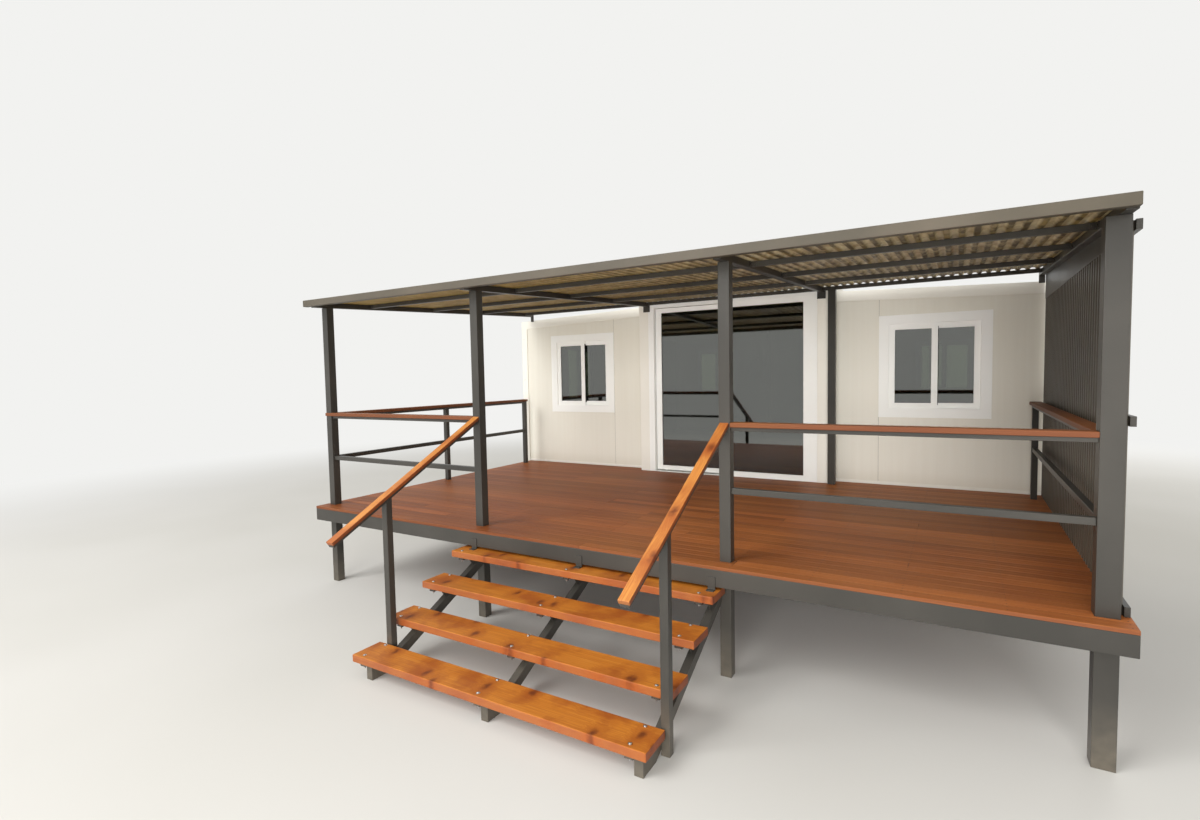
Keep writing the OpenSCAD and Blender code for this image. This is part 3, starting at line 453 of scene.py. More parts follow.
def float_glass():
    """Tinted clear glass with a reflective coat and slow waves."""
    material, tree, shader, place = start("grey_reflective_glass", Transmission_Weight=1.0, IOR=1.5,
                                          Coat_Weight=1.0, Coat_IOR=1.9, Coat_Roughness=0.02)
    wave = add(tree, "TexNoise", {"Vector": place, "Scale": per_mm(700), "Detail": 1.0}).outputs["Fac"]
    tint = add(tree, "ValToRGB", {"Fac": wave}, [(0.3, "#6f7a68"), (0.7, "#7d8674")]).outputs["Color"]
    film = add(tree, "MapRange", {"Value": wave, "To Min": 0.0, "To Max": 0.06})
    dress(tree, shader, tint, film.outputs["Result"], wave, 0.0012)
    return material


def crystalled_zinc(name, dark, light, size, metallic, gloss):
    """Zinc whose crystals of a size in millimetres differ in tone and gloss."""
    material, tree, shader, place = start(name, Metallic=metallic)
    cells = add(tree, "TexVoronoi", {"Vector": place, "Scale": per_mm(size)})
    pick = add(tree, "SeparateColor", {"Color": cells.outputs["Color"]}).outputs["Red"]
    tint = add(tree, "ValToRGB", {"Fac": pick}, [(0.0, dark), (1.0, light)])
    sheen = add(tree, "MapRange", {"Value": pick, "To Min": gloss - 0.08, "To Max": gloss + 0.12})
    dress(tree, shader, tint.outputs["Color"], sheen.outputs["Result"], pick, 0.0002)
    return material


def black_rubber():
    """Dull rubber with a fine grain, drawn at 3 mm so that it shows."""
    material, tree, shader, place = start("black_rubber")
    grain = add(tree, "TexNoise", {"Vector": place, "Scale": per_mm(3), "Detail": 3.0}).outputs["Fac"]
    tint = add(tree, "ValToRGB", {"Fac": grain}, [(0.3, "#141413"), (0.7, "#242322")])
    sheen = add(tree, "MapRange", {"Value": grain, "To Min": 0.6, "To Max": 0.85})
    dress(tree, shader, tint.outputs["Color"], sheen.outputs["Result"], grain, 0.0003)
    return material


glass = float_glass()
galvanised = crystalled_zinc("galvanised_steel", "#8f9292", "#b9bcbb", 12, 0.75, 0.45)
bolt_zinc = crystalled_zinc("bright_zinc", "#c4c6c7", "#e2e3e3", 4, 1.0, 0.25)
screw_bronze = crystalled_zinc("bronzed_screw_steel", "#3b2a1f", "#553a29", 4, 0.6, 0.5)
rubber = black_rubber()
print("glass, three metals, rubber")

# %% [markdown]
# ## Finishing the CAD nodes
#
# The carried-over nodes keep their shape. Rolled tube and planed timber have no razor edges,
# so a live bevel rounds them. The node's loose triangles are first welded and its flat faces
# made whole, as modifiers, so that the bevel meets only real edges.

# %% Give each CAD node its material and its edge


def soften(piece, radius, segments=2):
    """Rounds the sharp edges of a piece with live modifiers."""
    weld = piece.modifiers.new("weld", "WELD")
    weld.merge_threshold = WELD_DISTANCE
    flat = piece.modifiers.new("flat_faces", "DECIMATE")
    flat.decimate_type = "DISSOLVE"
    flat.angle_limit = math.radians(1)
    bevel = piece.modifiers.new("rounded_edges", "BEVEL")
    bevel.width = radius
    bevel.segments = segments
    bevel.limit_method = "ANGLE"
    bevel.angle_limit = math.radians(35)


FINISHES = [
    (galvanised, 0.003, ["cabin_stumps"]),
    (white_steel, 0.003, ["cabin_long_beams", "cabin_cross_beams", "centre_columns", "centre_roof_beams"]),
    (white_steel, 0.0015, ["wing_corner_trims", "wing_top_channels"]),
    (floor_vinyl, 0, ["cabin_floor"]),
    (roof_panel, 0, ["centre_roof", "left_wing_roof", "right_wing_roof"]),
    (wall_panel, 0, ["left_front_wall", "right_front_wall", "left_side_wall", "right_side_wall",
                     "back_walls"]),
    (white_frame, 0.0015, ["front_windows", "rear_windows", "door_jambs", "door_head_and_sill",
                           "fixed_door_panel", "sliding_door_panel"]),
    (glass, 0, ["front_window_glass", "rear_window_glass", "fixed_door_glass", "sliding_door_glass"]),
    (charcoal_coat, 0.003, ["deck_bearers", "deck_joists", "deck_legs", "verandah_posts", "rafters",
                            "purlins", "rail_posts", "steel_rails", "stair_newels"]),
    (charcoal_coat, 0.001, ["stair_stringers", "screen_rails"]),
    (screen_coat, 0, ["screen_sheet"]),
    (fascia_coat, 0.003, ["front_beam"]),
    (bronze_sheet, 0, ["roof_sheets"]),
    (cap_wood, 0.004, ["front_rail_caps"]),
    (side_cap_wood, 0.004, ["side_rail_caps"]),
    (pine, 0.005, ["stair_treads"]),
    (rail_pine, 0.004, ["handrails"]),
]
finished = 0
for material, radius, names in FINISHES:
    for name in names:
        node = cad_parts[name]
        for slot in node.material_slots:
            slot.material = material
        if radius:
            soften(node, radius)
        finished += 1
print("finished", finished, "of", len(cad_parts), "nodes")

# %% [markdown]
# ## Making a new piece
#
# A new piece starts in a bmesh from blocks and cones, which the create operators make, and is
# then turned into an object at the origin that rides on a body. Many small things, such as
# all the screws of one kind, share one object.

# %% Helpers for new pieces


def block(bm, low, high):
    """A cube stretched between two corners."""
    low, high = Vector(low), Vector(high)
    matrix = Matrix.Translation((low + high) / 2) @ Matrix.Diagonal((*(high - low), 1))
    return bmesh.ops.create_cube(bm, size=1, matrix=matrix)["verts"]


def turned(bm, place, axis, radius, top_radius, length, sides):
    """A cone or cylinder that stands on a place and points along an axis."""
    axis = Vector(axis)
    turn = axis.to_track_quat("Z", "Y").to_matrix().to_4x4()
    matrix = Matrix.Translation(Vector(place) + axis * length / 2) @ turn
    bmesh.ops.create_cone(bm, cap_ends=True, segments=sides, radius1=radius, radius2=top_radius,
                          depth=length, matrix=matrix)


def piece(name, bm, material, slot=None, body="cabin"):
    """Makes an object of a bmesh, which rides on a body. The slot argument is not used."""
    bmesh.ops.recalc_face_normals(bm, faces=bm.faces)
    mesh = bpy.data.meshes.new(name)
    bm.to_mesh(mesh)
    bm.free()
    mesh.materials.append(material)
    made = bpy.data.objects.new(name, mesh)
    bpy.context.scene.collection.objects.link(made)
    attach(made, body)
    print(name, len(mesh.polygons), "faces")
    return made


# %% [markdown]
# ## Deck boards
#
# The boards are 90 mm wide with fine gaps, and run along the front. They come in random
# lengths, so each row is butted over one or two joists that chance picks. Rows as long as
# the deck are laid over the whole deck, and a Boolean with the CAD deck notches them round the
# posts and the cabin, so they end where the real ones would. Then every face learns its
# board's tone.

# %% Deck boards
BOARD_W = 0.090
BOARD_GAP = 0.0025
BUTT_GAP = 0.0015
BOARD_EDGE = 0.002
TRIM_SPARE = 0.01
chance = random.Random(4)

joists = sorted((low.x + high.x) / 2 for low, high in solids("deck_joists"))
pitch = BOARD_W + BOARD_GAP
row_count = math.ceil((deck_high.y - deck_low.y) / pitch)
butts = [sorted(chance.sample(joists[2:-2], chance.choice((1, 1, 2)))) for _ in range(row_count)]
tones = [[chance.random() for _ in range(3)] for _ in range(row_count)]

bm = bmesh.new()
for row in range(row_count):
    y0 = deck_low.y + row * pitch
    y1 = min(y0 + BOARD_W, deck_high.y)
    stops = [deck_low.x - BUTT_GAP, *butts[row], deck_high.x + BUTT_GAP]
    for x0, x1 in zip(stops, stops[1:]):
        block(bm, (x0 + BUTT_GAP / 2, y0, deck_low.z - TRIM_SPARE),
              (x1 - BUTT_GAP / 2, y1, deck_high.z + TRIM_SPARE))
deck_planks = piece("deck_planks", bm, deck_wood, "decking")

bm = bmesh.new()
bm.from_mesh(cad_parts["deck_boards"].data)
bmesh.ops.remove_doubles(bm, verts=bm.verts, dist=WELD_DISTANCE)
outline = bpy.data.meshes.new("deck_outline")
bm.to_mesh(outline)
bm.free()
cutter = bpy.data.objects.new("deck_outline", outline)
bpy.context.scene.collection.objects.link(cutter)
trim = deck_planks.modifiers.new("trim_to_deck", "BOOLEAN")
trim.operation = "INTERSECT"
trim.object = cutter
bpy.context.view_layer.update()
shaped = deck_planks.evaluated_get(bpy.context.evaluated_depsgraph_get())
trimmed = bpy.data.meshes.new_from_object(shaped)
deck_planks.modifiers.clear()
deck_planks.data = trimmed
bpy.data.objects.remove(cutter)

board_tone = trimmed.attributes.new("board_tone", "FLOAT", "FACE")
for face in trimmed.polygons:
    row = min(int((face.center.y - deck_low.y) / pitch), row_count - 1)
    part = sum(face.center.x > butt for butt in butts[row])
    board_tone.data[face.index].value = tones[row][part]
soften(deck_planks, BOARD_EDGE)
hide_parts("deck_boards")
print(row_count, "rows of boards,", len(trimmed.polygons), "faces after trimming")

# %% [markdown]
# ## Deck screws
#
# Two countersunk bronzed screws hold each board on each joist. Rows that come near the cabin's
# columns have none.

# %% Deck screws
SCREW_R = 0.004
SCREW_TOP_R = 0.0032
SCREW_HEAD_T = 0.001
SCREW_SUNK = 0.0005
SCREW_FROM_EDGE = 0.020
CABIN_CLEARANCE = 0.02
columns_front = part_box("centre_columns")[0].y

bm = bmesh.new()
for row in range(row_count):
    y0 = deck_low.y + row * pitch
    if y0 + BOARD_W > columns_front - CABIN_CLEARANCE:
        continue
    for x in joists:
        for y in (y0 + SCREW_FROM_EDGE, y0 + BOARD_W - SCREW_FROM_EDGE):
            turned(bm, (x, y, deck_high.z - SCREW_SUNK), (0, 0, 1), SCREW_R, SCREW_TOP_R, SCREW_HEAD_T, 8)
piece("deck_screws", bm, screw_bronze)

# %% [markdown]
# ## The stair's bearers and feet
#
# Beside each stringer a short steel bar is welded under every tread. Cup-head bolts with
# washers go through tread and bar in pairs, one near each edge, with nuts underneath. At the
# ground a plate box fills the corner between the stringer and the lowest tread, so that the
# foot is cut plumb in front.

# %% Bearers, feet and tread bolts
BEARER_W = 0.050
BEARER_H = 0.020
BEARER_FRONT = 0.015
FOOT_PROUD = 0.001
FOOT_SHORT = 0.055
PLATE_BELOW_TREAD = 0.006
BAR_EDGE = 0.002
BOLT_R = 0.008
DOME_SHARE = 0.55
WASHER_R, WASHER_T = 0.012, 0.002
NUT_R, NUT_H = 0.010, 0.008
BOLT_END_R, BOLT_TIP_R, BOLT_END_H = 0.005, 0.004, 0.010
BOLT_FROM_FRONT, BOLT_FROM_BACK = 0.034, 0.022


def cup_head(bm, place, radius):
    """A domed bolt head on a washer."""
    turned(bm, place, (0, 0, 1), WASHER_R, WASHER_R, WASHER_T, 20)
    middle = Vector(place) + Vector((0, 0, WASHER_T))
    dome = Matrix.Translation(middle) @ Matrix.Diagonal((1, 1, DOME_SHARE, 1))
    bmesh.ops.create_uvsphere(bm, u_segments=14, v_segments=8, radius=radius, matrix=dome)


treads = solids("stair_treads")
tread_h = treads[0][1].z - treads[0][0].z
stringers = [(low, high) for low, high in solids("stair_stringers") if high.z - low.z > 5 * tread_h]
bars = bmesh.new()
feet = bmesh.new()
bolts = bmesh.new()
for low, high in treads:
    for beam_low, _ in stringers:
        left = beam_low.x - BEARER_W
        block(bars, (left, low.y + BEARER_FRONT, low.z - BEARER_H), (beam_low.x, high.y, low.z))
        x = left + BEARER_W / 2
        for y in (low.y + BOLT_FROM_FRONT, high.y - BOLT_FROM_BACK):
            cup_head(bolts, (x, y, high.z), BOLT_R)
            turned(bolts, (x, y, low.z - BEARER_H), (0, 0, -1), NUT_R, NUT_R, NUT_H, 6)
            nut_low = (x, y, low.z - BEARER_H - NUT_H)
            turned(bolts, nut_low, (0, 0, -1), BOLT_END_R, BOLT_TIP_R, BOLT_END_H, 12)
lowest_low, lowest_high = treads[0]
for beam_low, beam_high in stringers:
    block(feet, (beam_low.x - FOOT_PROUD, beam_low.y - FOOT_PROUD, 0),
          (beam_high.x + FOOT_PROUD, lowest_high.y - FOOT_SHORT, lowest_low.z - PLATE_BELOW_TREAD))
soften(piece("tread_bearers", bars, charcoal_coat, "charcoal_steel"), BAR_EDGE)
soften(piece("stringer_feet", feet, charcoal_coat, "charcoal_steel"), BAR_EDGE)
piece("tread_bolts", bolts, bolt_zinc, "galvanised_steel")
print(len(treads), "treads on", len(stringers), "stringers")

# %% [markdown]
# ## Handrails
#
# Each handrail is a planed timber on a steel bar, which the stair's post carries. The CAD node
# is their common outline, one sloping bar, so two pieces share that outline here. A straight
# bar is tilted to the slope, and a plane cuts it plumb where it meets the verandah's post.

# %% Handrails
RAIL_T = 0.042
TIMBER_T = 0.024
BAR_INSET = 0.006
TIMBER_EDGE = 0.004
LENGTH_TO_CUT = 1.2


def sloping_bar(bm, low, high, top, bottom):
    """A bar between two depths under a handrail's top face, cut plumb at its upper end."""
    length = LENGTH_TO_CUT * (high.y - low.y)
    made = block(bm, (low.x, 0, -bottom), (high.x, length, -top))
    start_z = low.z + RAIL_T * math.cos(RAIL_SLOPE)
    matrix = Matrix.Translation((0, low.y, start_z)) @ Matrix.Rotation(RAIL_SLOPE, 4, "X")
    bmesh.ops.transform(bm, matrix=matrix, verts=made)
    geometry = bm.verts[:] + bm.edges[:] + bm.faces[:]
    cut = bmesh.ops.bisect_plane(bm, geom=geometry, plane_co=(0, high.y, 0), plane_no=(0, 1, 0),
                                 clear_outer=True)["geom_cut"]
    bmesh.ops.holes_fill(bm, edges=[item for item in cut if isinstance(item, bmesh.types.BMEdge)], sides=4)


timbers, bars = bmesh.new(), bmesh.new()
for low, high in solids("handrails"):
    sloping_bar(timbers, low, high, 0, TIMBER_T)
    inset = Vector((BAR_INSET, 0, 0))
    sloping_bar(bars, low + inset, high - inset, TIMBER_T, RAIL_T)
handrail_timbers = piece("handrail_timbers", timbers, rail_pine, "tread_timber")
soften(handrail_timbers, TIMBER_EDGE)
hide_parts("handrails")
soften(piece("handrail_bars", bars, charcoal_coat, "charcoal_steel"), BAR_EDGE)

# %% [markdown]
# ## Roof screws
#
# Hex screws with washers hold the sheets on every second crest over each purlin.

# %% Roof screws
purlins = solids("purlins")
purlin_rows = sorted({round(low.y, 3) for low, _ in purlins})
first_row = min(purlins, key=lambda pair: pair[0].y)
last_row = max(purlins, key=lambda pair: pair[0].y)
ROOF_SLOPE = (last_row[1].z - first_row[1].z) / (last_row[1].y - first_row[1].y)
# The height of the sheets' waves in the CAD model.
WAVE_H = 0.017
CREST_MIDDLE = 0.65
ROOF_WASHER_R, ROOF_WASHER_TOP_R, ROOF_WASHER_T = 0.009, 0.008, 0.002
HEX_HEAD_R, HEX_HEAD_H = 0.005, 0.005


def steel_top(y):
    """The height of the roof steel's top at any Y."""
    return last_row[1].z + (y - last_row[1].y) * ROOF_SLOPE


crests = int((roof_high.x - roof_low.x) / WAVE_PITCH)
bm = bmesh.new()
for row_y in purlin_rows:
    y = row_y + (first_row[1].y - first_row[0].y) / 2
    z = steel_top(y) + WAVE_H
    for crest in range(0, crests, 2):
        x = roof_low.x + (crest + CREST_MIDDLE) * WAVE_PITCH
        turned(bm, (x, y, z), (0, 0, 1), ROOF_WASHER_R, ROOF_WASHER_TOP_R, ROOF_WASHER_T, 12)
        turned(bm, (x, y, z + ROOF_WASHER_T), (0, 0, 1), HEX_HEAD_R, HEX_HEAD_R, HEX_HEAD_H, 6)
piece("roof_screws", bm, bolt_zinc, "galvanised_steel")

# %% [markdown]
# ## Steel brackets
#
# Small angles join each purlin to the rafters, with a bolt through each leg. The plates
# that hold the rafters to the cabin's corner blocks have four bolts, outside the rafter.

# %% Purlin angles and frame bolts
ANGLE_LEG = 0.038
ANGLE_T = 0.004
ANGLE_SHORT = 0.002
ANGLE_EDGE = 0.001
ANGLE_BOLT_OUT = 0.024
ANGLE_BOLT_R, ANGLE_BOLT_H = 0.007, 0.005
# The thickness of the rafters' end plates in the CAD model.
PLATE_T = 0.008
PLATE_BOLT_X = 0.035
PLATE_BOLT_DROPS = (0.03, 0.09)
PLATE_BOLT_R, PLATE_BOLT_H = 0.008, 0.006

bm = bmesh.new()
bolts = bmesh.new()
for low, high in purlins:
    top = steel_top(low.y) - ANGLE_SHORT
    foot = low.z + ANGLE_SHORT
    mid_z = (top + foot) / 2
    for x, inward in ((low.x, 1), (high.x, -1)):
        outer = sorted((x, x + inward * ANGLE_LEG))
        flat = sorted((x, x + inward * ANGLE_T))
        block(bm, (outer[0], low.y - ANGLE_T, foot), (outer[1], low.y, top))
        block(bm, (flat[0], low.y - ANGLE_LEG, foot), (flat[1], low.y, top))
        for place, axis in (((x + inward * ANGLE_BOLT_OUT, low.y - ANGLE_T, mid_z), (0, -1, 0)),
                            ((x + inward * ANGLE_T, low.y - ANGLE_BOLT_OUT, mid_z), (inward, 0, 0))):
            turned(bolts, place, axis, ANGLE_BOLT_R, ANGLE_BOLT_R, ANGLE_BOLT_H, 6)
for low, high in solids("rafters"):
    if high.x - low.x < 2 * PLATE_BOLT_X:
        continue
    for side in (-PLATE_BOLT_X, PLATE_BOLT_X):
        for drop in PLATE_BOLT_DROPS:
            place = ((low.x + high.x) / 2 + side, high.y - PLATE_T, steel_top(high.y) - drop)
            turned(bolts, place, (0, -1, 0), PLATE_BOLT_R, PLATE_BOLT_R, PLATE_BOLT_H, 6)
purlin_angles = piece("purlin_angles", bm, charcoal_coat, "charcoal_steel")
soften(purlin_angles, ANGLE_EDGE, 1)
piece("frame_bolts", bolts, charcoal_coat, "charcoal_steel")

# %% [markdown]
# ## Laps of the roof sheets
#
# Each roof sheet laps one wave over its neighbour. The lap's double thickness shows from below
# as a darker band. A strip with the wave's own profile lies on every joint: its outline is a
# chain of edges, which is extruded along the slope and given a thickness.

# %% Sheet laps
# The thickness of the roof sheets in the CAD model.
SHEET_T = 0.002
LAP_T = 0.0015
LAP_CLEARANCE = 0.0008
LAP_SHORT = 0.003
LAP_POINTS = [(-0.5, 1), (-0.2, 1), (0.0, 0), (0.3, 0), (0.5, 1), (0.8, 1)]

bm = bmesh.new()
lap_y0, lap_y1 = roof_low.y + LAP_SHORT, roof_high.y - LAP_SHORT
for start_x in sheet_starts[1:]:
    chain = []
    for share, level in LAP_POINTS:
        z = steel_top(lap_y0) + SHEET_T + level * (WAVE_H - SHEET_T) + LAP_CLEARANCE
        chain.append(bm.verts.new((start_x + share * WAVE_PITCH, lap_y0, z)))
    edges = [bm.edges.new(pair) for pair in zip(chain, chain[1:])]
    grown = bmesh.ops.extrude_edge_only(bm, edges=edges)["geom"]
    moved = [item for item in grown if isinstance(item, bmesh.types.BMVert)]
    run = lap_y1 - lap_y0
    bmesh.ops.translate(bm, verts=moved, vec=(0, run, run * ROOF_SLOPE))
bmesh.ops.recalc_face_normals(bm, faces=bm.faces)
for face in bm.faces:
    if face.normal.z < 0:
        face.normal_flip()
bmesh.ops.solidify(bm, geom=bm.faces, thickness=-LAP_T)
piece("sheet_laps", bm, bronze_sheet, "bronze_sheet")

# %% [markdown]
# ## Small things on the walls
#
# The wall panels meet at upright joints in line with the windows' trims: two folded lips with a
# dark gap between them. A folded flashing covers the foot of every wall, and pan-head screws
# hold the corner trims. Each of these lies on a wall's face, so one helper places a block by
# the face, a span along it, a span of height and how far it stands proud.

# %% Faces of the walls
WALLS = ["left_front_wall", "right_front_wall", "left_side_wall", "right_side_wall", "back_walls"]
cabin_low, cabin_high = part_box("cabin_floor")
cabin_middle = (cabin_low + cabin_high) / 2


def face_of(low, high):
    """The thin axis of a wall or pane, the way out along it, and the level of its outer face."""
    thin = 0 if high.x - low.x < high.y - low.y else 1
    out = 1 if (low[thin] + high[thin]) / 2 > cabin_middle[thin] else -1
    return thin, out, (high if out > 0 else low)[thin]


def on_face(bm, face, along, height, proud):
    """A block on a face, between two places along it, two heights and two distances out."""
    thin, out, level = face
    low, high = Vector(), Vector()
    low[thin], high[thin] = sorted(level + out * p for p in proud)
    low[1 - thin], high[1 - thin] = sorted(along)
    low.z, high.z = height
    return block(bm, low, high)


# %% Foot flashings
FLASHING_H = 0.045
FLASHING_T = 0.003
FLASHING_EDGE = 0.0012

bm = bmesh.new()
for node in WALLS:
    for low, high in solids(node):
        thin, out, level = face_of(low, high)
        span = (low[1 - thin], high[1 - thin])
        on_face(bm, (thin, out, level), span, (low.z, low.z + FLASHING_H), (0, FLASHING_T))
foot_flashings = piece("foot_flashings", bm, white_steel, "white_paint")
soften(foot_flashings, FLASHING_EDGE)

# %% Panel joints
LIP_W = 0.009
GAP_W = 0.002
LIP_T = 0.0012
LIP_EDGE = 0.0005
TOP_CLEARANCE = 0.03

front_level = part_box("right_front_wall")[0].y
trim_t = front_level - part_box("front_windows")[0].y
window_trims = [pair for node in ("front_windows", "rear_windows") for pair in solids(node)
                if pair[1].z - pair[0].z > 1.0]
lips, gaps = bmesh.new(), bmesh.new()
wall_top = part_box("left_side_wall")[1].z
foot = cabin_high.z + FLASHING_H
for low, high in window_trims:
    thin, out, outer = face_of(low, high)
    face = (thin, out, outer - out * trim_t)
    middle = (low[1 - thin] + high[1 - thin]) / 2
    inner = low[1 - thin] if middle > cabin_middle[1 - thin] else high[1 - thin]
    span = (foot, wall_top - TOP_CLEARANCE if thin == 0 else wall_top + TOP_CLEARANCE)
    on_face(gaps, face, (inner - GAP_W / 2, inner + GAP_W / 2), span, (0, LIP_T / 2))
    for side in (-1, 1):
        start_at = inner + side * GAP_W / 2
        on_face(lips, face, (start_at, start_at + side * LIP_W), span, (0, LIP_T))
soften(piece("panel_lips", lips, wall_panel, "wall_panel"), LIP_EDGE, 1)
piece("panel_gaps", gaps, rubber)
print(len(window_trims), "windows with a joint beside each")

# %% Corner trim screws
TRIM_SCREW_STEP = 0.59
TRIM_SCREW_TOP = 0.18
TRIM_SCREW_FOOT = 0.05
TRIM_SCREW_IN = 0.035
PAN_HEAD_R, PAN_HEAD_TOP_R, PAN_HEAD_T = 0.006, 0.0035, 0.003

bm = bmesh.new()
for low, high in solids("wing_corner_trims"):
    out_x = 1 if low.x > 0 else -1
    out_y = 1 if low.y > cabin_middle.y else -1
    corner = Vector((high.x if out_x > 0 else low.x, high.y if out_y > 0 else low.y, 0))
    z = high.z - TRIM_SCREW_TOP
    while z > low.z + TRIM_SCREW_FOOT:
        for place, axis in (((corner.x - out_x * TRIM_SCREW_IN, corner.y, z), (0, out_y, 0)),
                            ((corner.x, corner.y - out_y * TRIM_SCREW_IN, z), (out_x, 0, 0))):
            turned(bm, place, axis, PAN_HEAD_R, PAN_HEAD_TOP_R, PAN_HEAD_T, 12)
        z -= TRIM_SCREW_STEP
piece("trim_screws", bm, bolt_zinc, "galvanised_steel")

# %% [markdown]
# ## Seals, painted shade strips and handles of the panes
#
# Each pane sits in a black rubber seal, a ring round the pane: a face of the pane's size is
# inset, its middle is taken out, and the ring that is left is extruded outwards. The inset has
# to be told to include the boundary, because a lone face has nothing else. Where two
# sashes meet, a black strip stands in the gap beside the outer sash's stile: painted shade for
# the shadow in that gap. A slim white handle sits on that stile. The door has the same strip of
# painted shade along its fixed panel.

# %% Seals
SEAL_W = 0.005
SEAL_T = 0.004


def ring(bm, low, high, thin, level, width, out, depth):
    """A rectangular ring at one level of the thin axis, raised by depth along out."""
    wide = 1 - thin
    points = []
    for across, height in ((0, 0), (1, 0), (1, 1), (0, 1)):
        point = Vector()
        point[thin] = level
        point[wide] = (low, high)[across][wide]
        point.z = (low, high)[height].z
        points.append(bm.verts.new(point))
    face = bm.faces.new(points)
    rim = bmesh.ops.inset_region(bm, faces=[face], thickness=width, use_boundary=True,
                                 use_even_offset=True)["faces"]
    bmesh.ops.delete(bm, geom=[face], context="FACES_ONLY")
    grown = bmesh.ops.extrude_face_region(bm, geom=rim, use_keep_orig=True)["geom"]
    step = Vector()
    step[thin] = out * depth
    bmesh.ops.translate(bm, verts=[item for item in grown if isinstance(item, bmesh.types.BMVert)], vec=step)


for name, nodes, body in (
    ("window_seals", ["front_window_glass", "rear_window_glass"], "cabin"),
    ("fixed_door_seals", ["fixed_door_glass"], "cabin"),
    ("sliding_door_seals", ["sliding_door_glass"], "sliding_door"),
):
    bm = bmesh.new()
    for node in nodes:
        for low, high in solids(node):
            thin = 0 if high.x - low.x < high.y - low.y else 1
            for level, out in ((low[thin], -1), (high[thin], 1)):
                ring(bm, low, high, thin, level, SEAL_W, out, SEAL_T)
    piece(name, bm, rubber, None, body)

# %% Painted shade strips and handles
SASH_W = 0.058
SASH_T = 0.026
SHADE_STRIP_W = 0.005
SHADE_STRIP_PAST = 0.02
SHADE_STRIP_BACK, DOOR_SHADE_STRIP_BACK = 0.004, 0.006
HANDLE_H = 0.13
HANDLE_W = 0.016
HANDLE_T = 0.012
HANDLE_EDGE = 0.004

panes = [pair for node in ("front_window_glass", "rear_window_glass") for pair in solids(node)]
outermost = {}
for low, high in panes:
    thin, out, level = face_of(low, high)
    outermost[thin, out] = max(outermost.get((thin, out), -math.inf), out * level)
shade_gap_strips, handles = bmesh.new(), bmesh.new()
for low, high in panes:
    thin, out, level = face_of(low, high)
    if outermost[thin, out] - out * level > SASH_T / 2:
        continue
    rightward = -out if thin == 1 else out
    edge = (high if rightward > 0 else low)[1 - thin]
    sash_face = (thin, out, level + out * (SASH_T - (high[thin] - low[thin])) / 2)
    stile = edge + rightward * SASH_W
    # A black rubber strip in the gap beside the stile, reaching past the pane: painted shade for the shadow
    # in that gap.
    span = (low.z - SHADE_STRIP_PAST, high.z + SHADE_STRIP_PAST)
    on_face(shade_gap_strips, sash_face, (stile, stile + rightward * SHADE_STRIP_W), span, (-SASH_T, -SHADE_STRIP_BACK))
    middle = edge + rightward * SASH_W / 2
    mid_z = (low.z + high.z) / 2
    on_face(handles, sash_face, (middle - HANDLE_W / 2, middle + HANDLE_W / 2),
            (mid_z - HANDLE_H / 2, mid_z + HANDLE_H / 2), (0, HANDLE_T))
door_low, door_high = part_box("fixed_door_panel")
# The same strip of painted shade beside the door's fixed panel.
on_face(shade_gap_strips, (1, -1, door_low.y), (door_low.x - SHADE_STRIP_W, door_low.x), (door_low.z, door_high.z),
        (-(door_high.y - door_low.y), -DOOR_SHADE_STRIP_BACK))
piece("meeting_shade_strips", shade_gap_strips, rubber)
soften(piece("sash_handles", handles, white_frame, "white_frame"), HANDLE_EDGE, 3)

# %% [markdown]
# ## The stage
#
# A plain pale floor and a soft white surround. The surround is white to the camera, to
# reflections and through the glass, and the far floor fades into it, so the horizon is soft. A
# large soft box stands at the front left, where the sun was. It hangs high, and is the one
# lamp that reflections show. A low lamp fills the space under
# the roof, and a third one lights the back. The panes would mirror these two as white sheets,
# so they are hidden from reflections, and from the rays that pass through a pane.

# %% Floor and light
FLOOR_HALF = 90.0
FADE_START, FADE_END = 7.0, 15.0
SURROUND = "#f2f2f0"
SKY_STRENGTH = 0.62


def background_rays(tree):
    """One where a ray comes from the camera, a reflection or a pane, and zero elsewhere."""
    rays = add(tree, "LightPath").outputs
    direct = add(tree, "Math", {0: rays["Is Camera Ray"], 1: rays["Is Glossy Ray"]}, operation="MAXIMUM")
    return add(tree, "Math", {0: direct.outputs["Value"], 1: rays["Is Transmission Ray"]},
               operation="MAXIMUM").outputs["Value"]


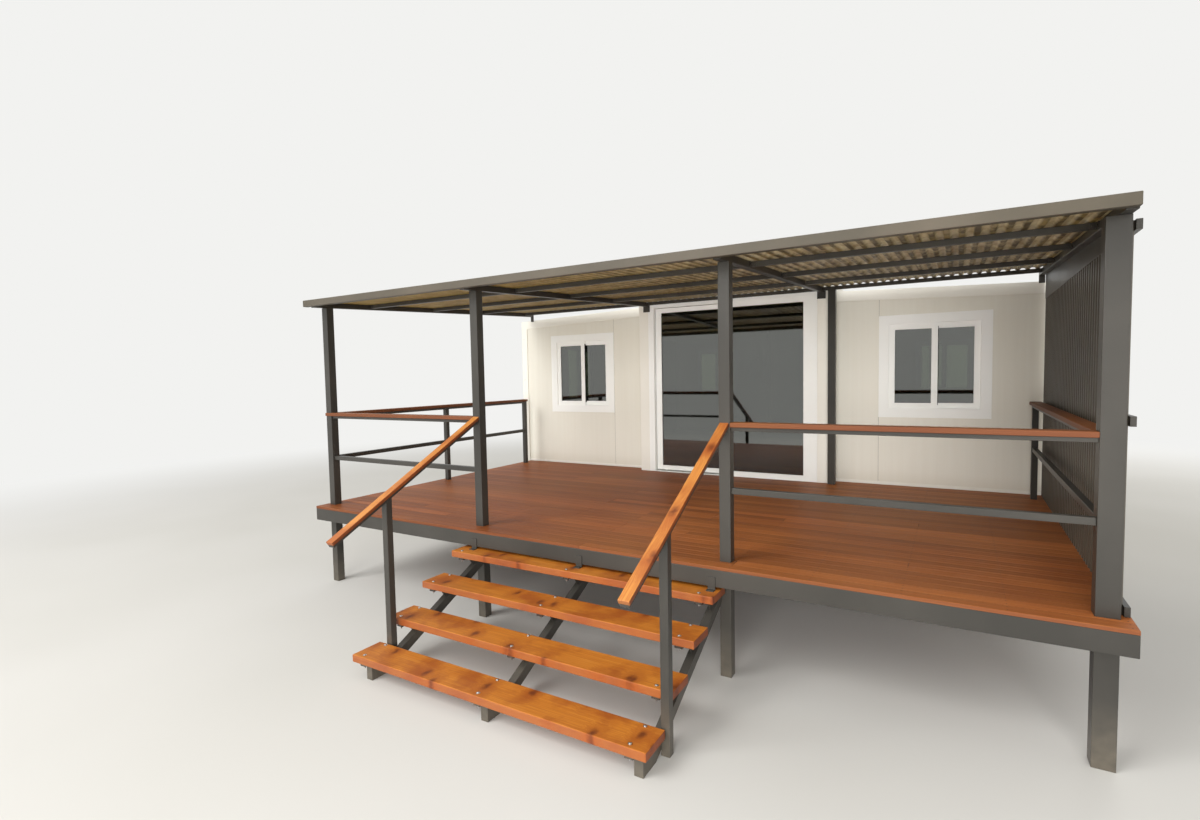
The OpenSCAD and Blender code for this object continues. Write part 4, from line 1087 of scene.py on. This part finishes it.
bm = bmesh.new()
bmesh.ops.create_grid(bm, x_segments=1, y_segments=1, size=FLOOR_HALF)
floor_mesh = bpy.data.meshes.new("studio_floor")
bm.to_mesh(floor_mesh)
bm.free()
floor = bpy.data.objects.new("studio_floor", floor_mesh)
bpy.context.scene.collection.objects.link(floor)
floor_paint, tree, shader, place = start("studio_floor", Roughness=0.85)
mottle = add(tree, "TexNoise", {"Vector": place, "Scale": per_mm(2500), "Detail": 2.0})
pale = add(tree, "ValToRGB", {"Fac": mottle.outputs["Fac"]}, [(0.3, "#d4d2cc"), (0.7, "#dad8d3")])
dress(tree, shader, pale.outputs["Color"])
away = add(tree, "VectorMath", {0: place}, operation="LENGTH").outputs["Value"]
fade = add(tree, "MapRange", {"Value": away, "From Min": FADE_START, "From Max": FADE_END},
           interpolation_type="SMOOTHSTEP").outputs["Result"]
faded = add(tree, "Math", {0: fade, 1: background_rays(tree)}, operation="MULTIPLY").outputs["Value"]
haze = add(tree, "Emission", {"Color": linear(SURROUND), "Strength": 1.0})
blend = add(tree, "MixShader", {"Fac": faded, 1: shader.outputs["BSDF"], 2: haze.outputs["Emission"]})
tree.links.new(blend.outputs["Shader"], tree.nodes["Material Output"].inputs["Surface"])
floor_mesh.materials.append(floor_paint)
floor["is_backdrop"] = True

world = bpy.data.worlds.new("studio")
bpy.context.scene.world = world
world.use_nodes = True
tree = world.node_tree
tree.nodes.clear()
lit = add(tree, "Background", {"Color": linear("#f6f5f2"), "Strength": SKY_STRENGTH})
shown = add(tree, "Background", {"Color": linear(SURROUND), "Strength": 1.0})
both = add(tree, "MixShader", {"Fac": background_rays(tree), 1: lit.outputs[0], 2: shown.outputs[0]})
add(tree, "OutputWorld", {"Surface": both.outputs[0]})


def soft_lamp(name, place, target, size, power, mirrored=False):
    """A square area lamp that faces a target. Reflections and panes show it if it is mirrored."""
    lamp = bpy.data.objects.new(name, bpy.data.lights.new(name, "AREA"))
    lamp.data.size = size
    lamp.data.energy = power
    lamp.location = place
    lamp.rotation_euler = (Vector(target) - Vector(place)).to_track_quat("-Z", "Y").to_euler()
    lamp.visible_glossy = mirrored
    lamp.visible_transmission = mirrored
    bpy.context.scene.collection.objects.link(lamp)


soft_lamp("front_soft_box", (-5.5, -14.0, 10.5), (0, -1.5, 1.2), 8.0, 1500, True)
soft_lamp("low_fill", (4.0, -14.0, 1.8), (1.6, 0, 1.6), 6.0, 1600)
soft_lamp("back_lamp", (6.0, 16.0, 8.0), (0, 3, 1.5), 9.0, 1100)
bpy.context.scene.view_settings.view_transform = "Standard"
print("stage and light ready")

# %% [markdown]
# ## Size of the dressed model
#
# The size of the dressed model, without the floor, is printed.

# %% Size of the dressed model
low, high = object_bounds()
print("visual box", [round(c, 3) for c in (*low, *high)])
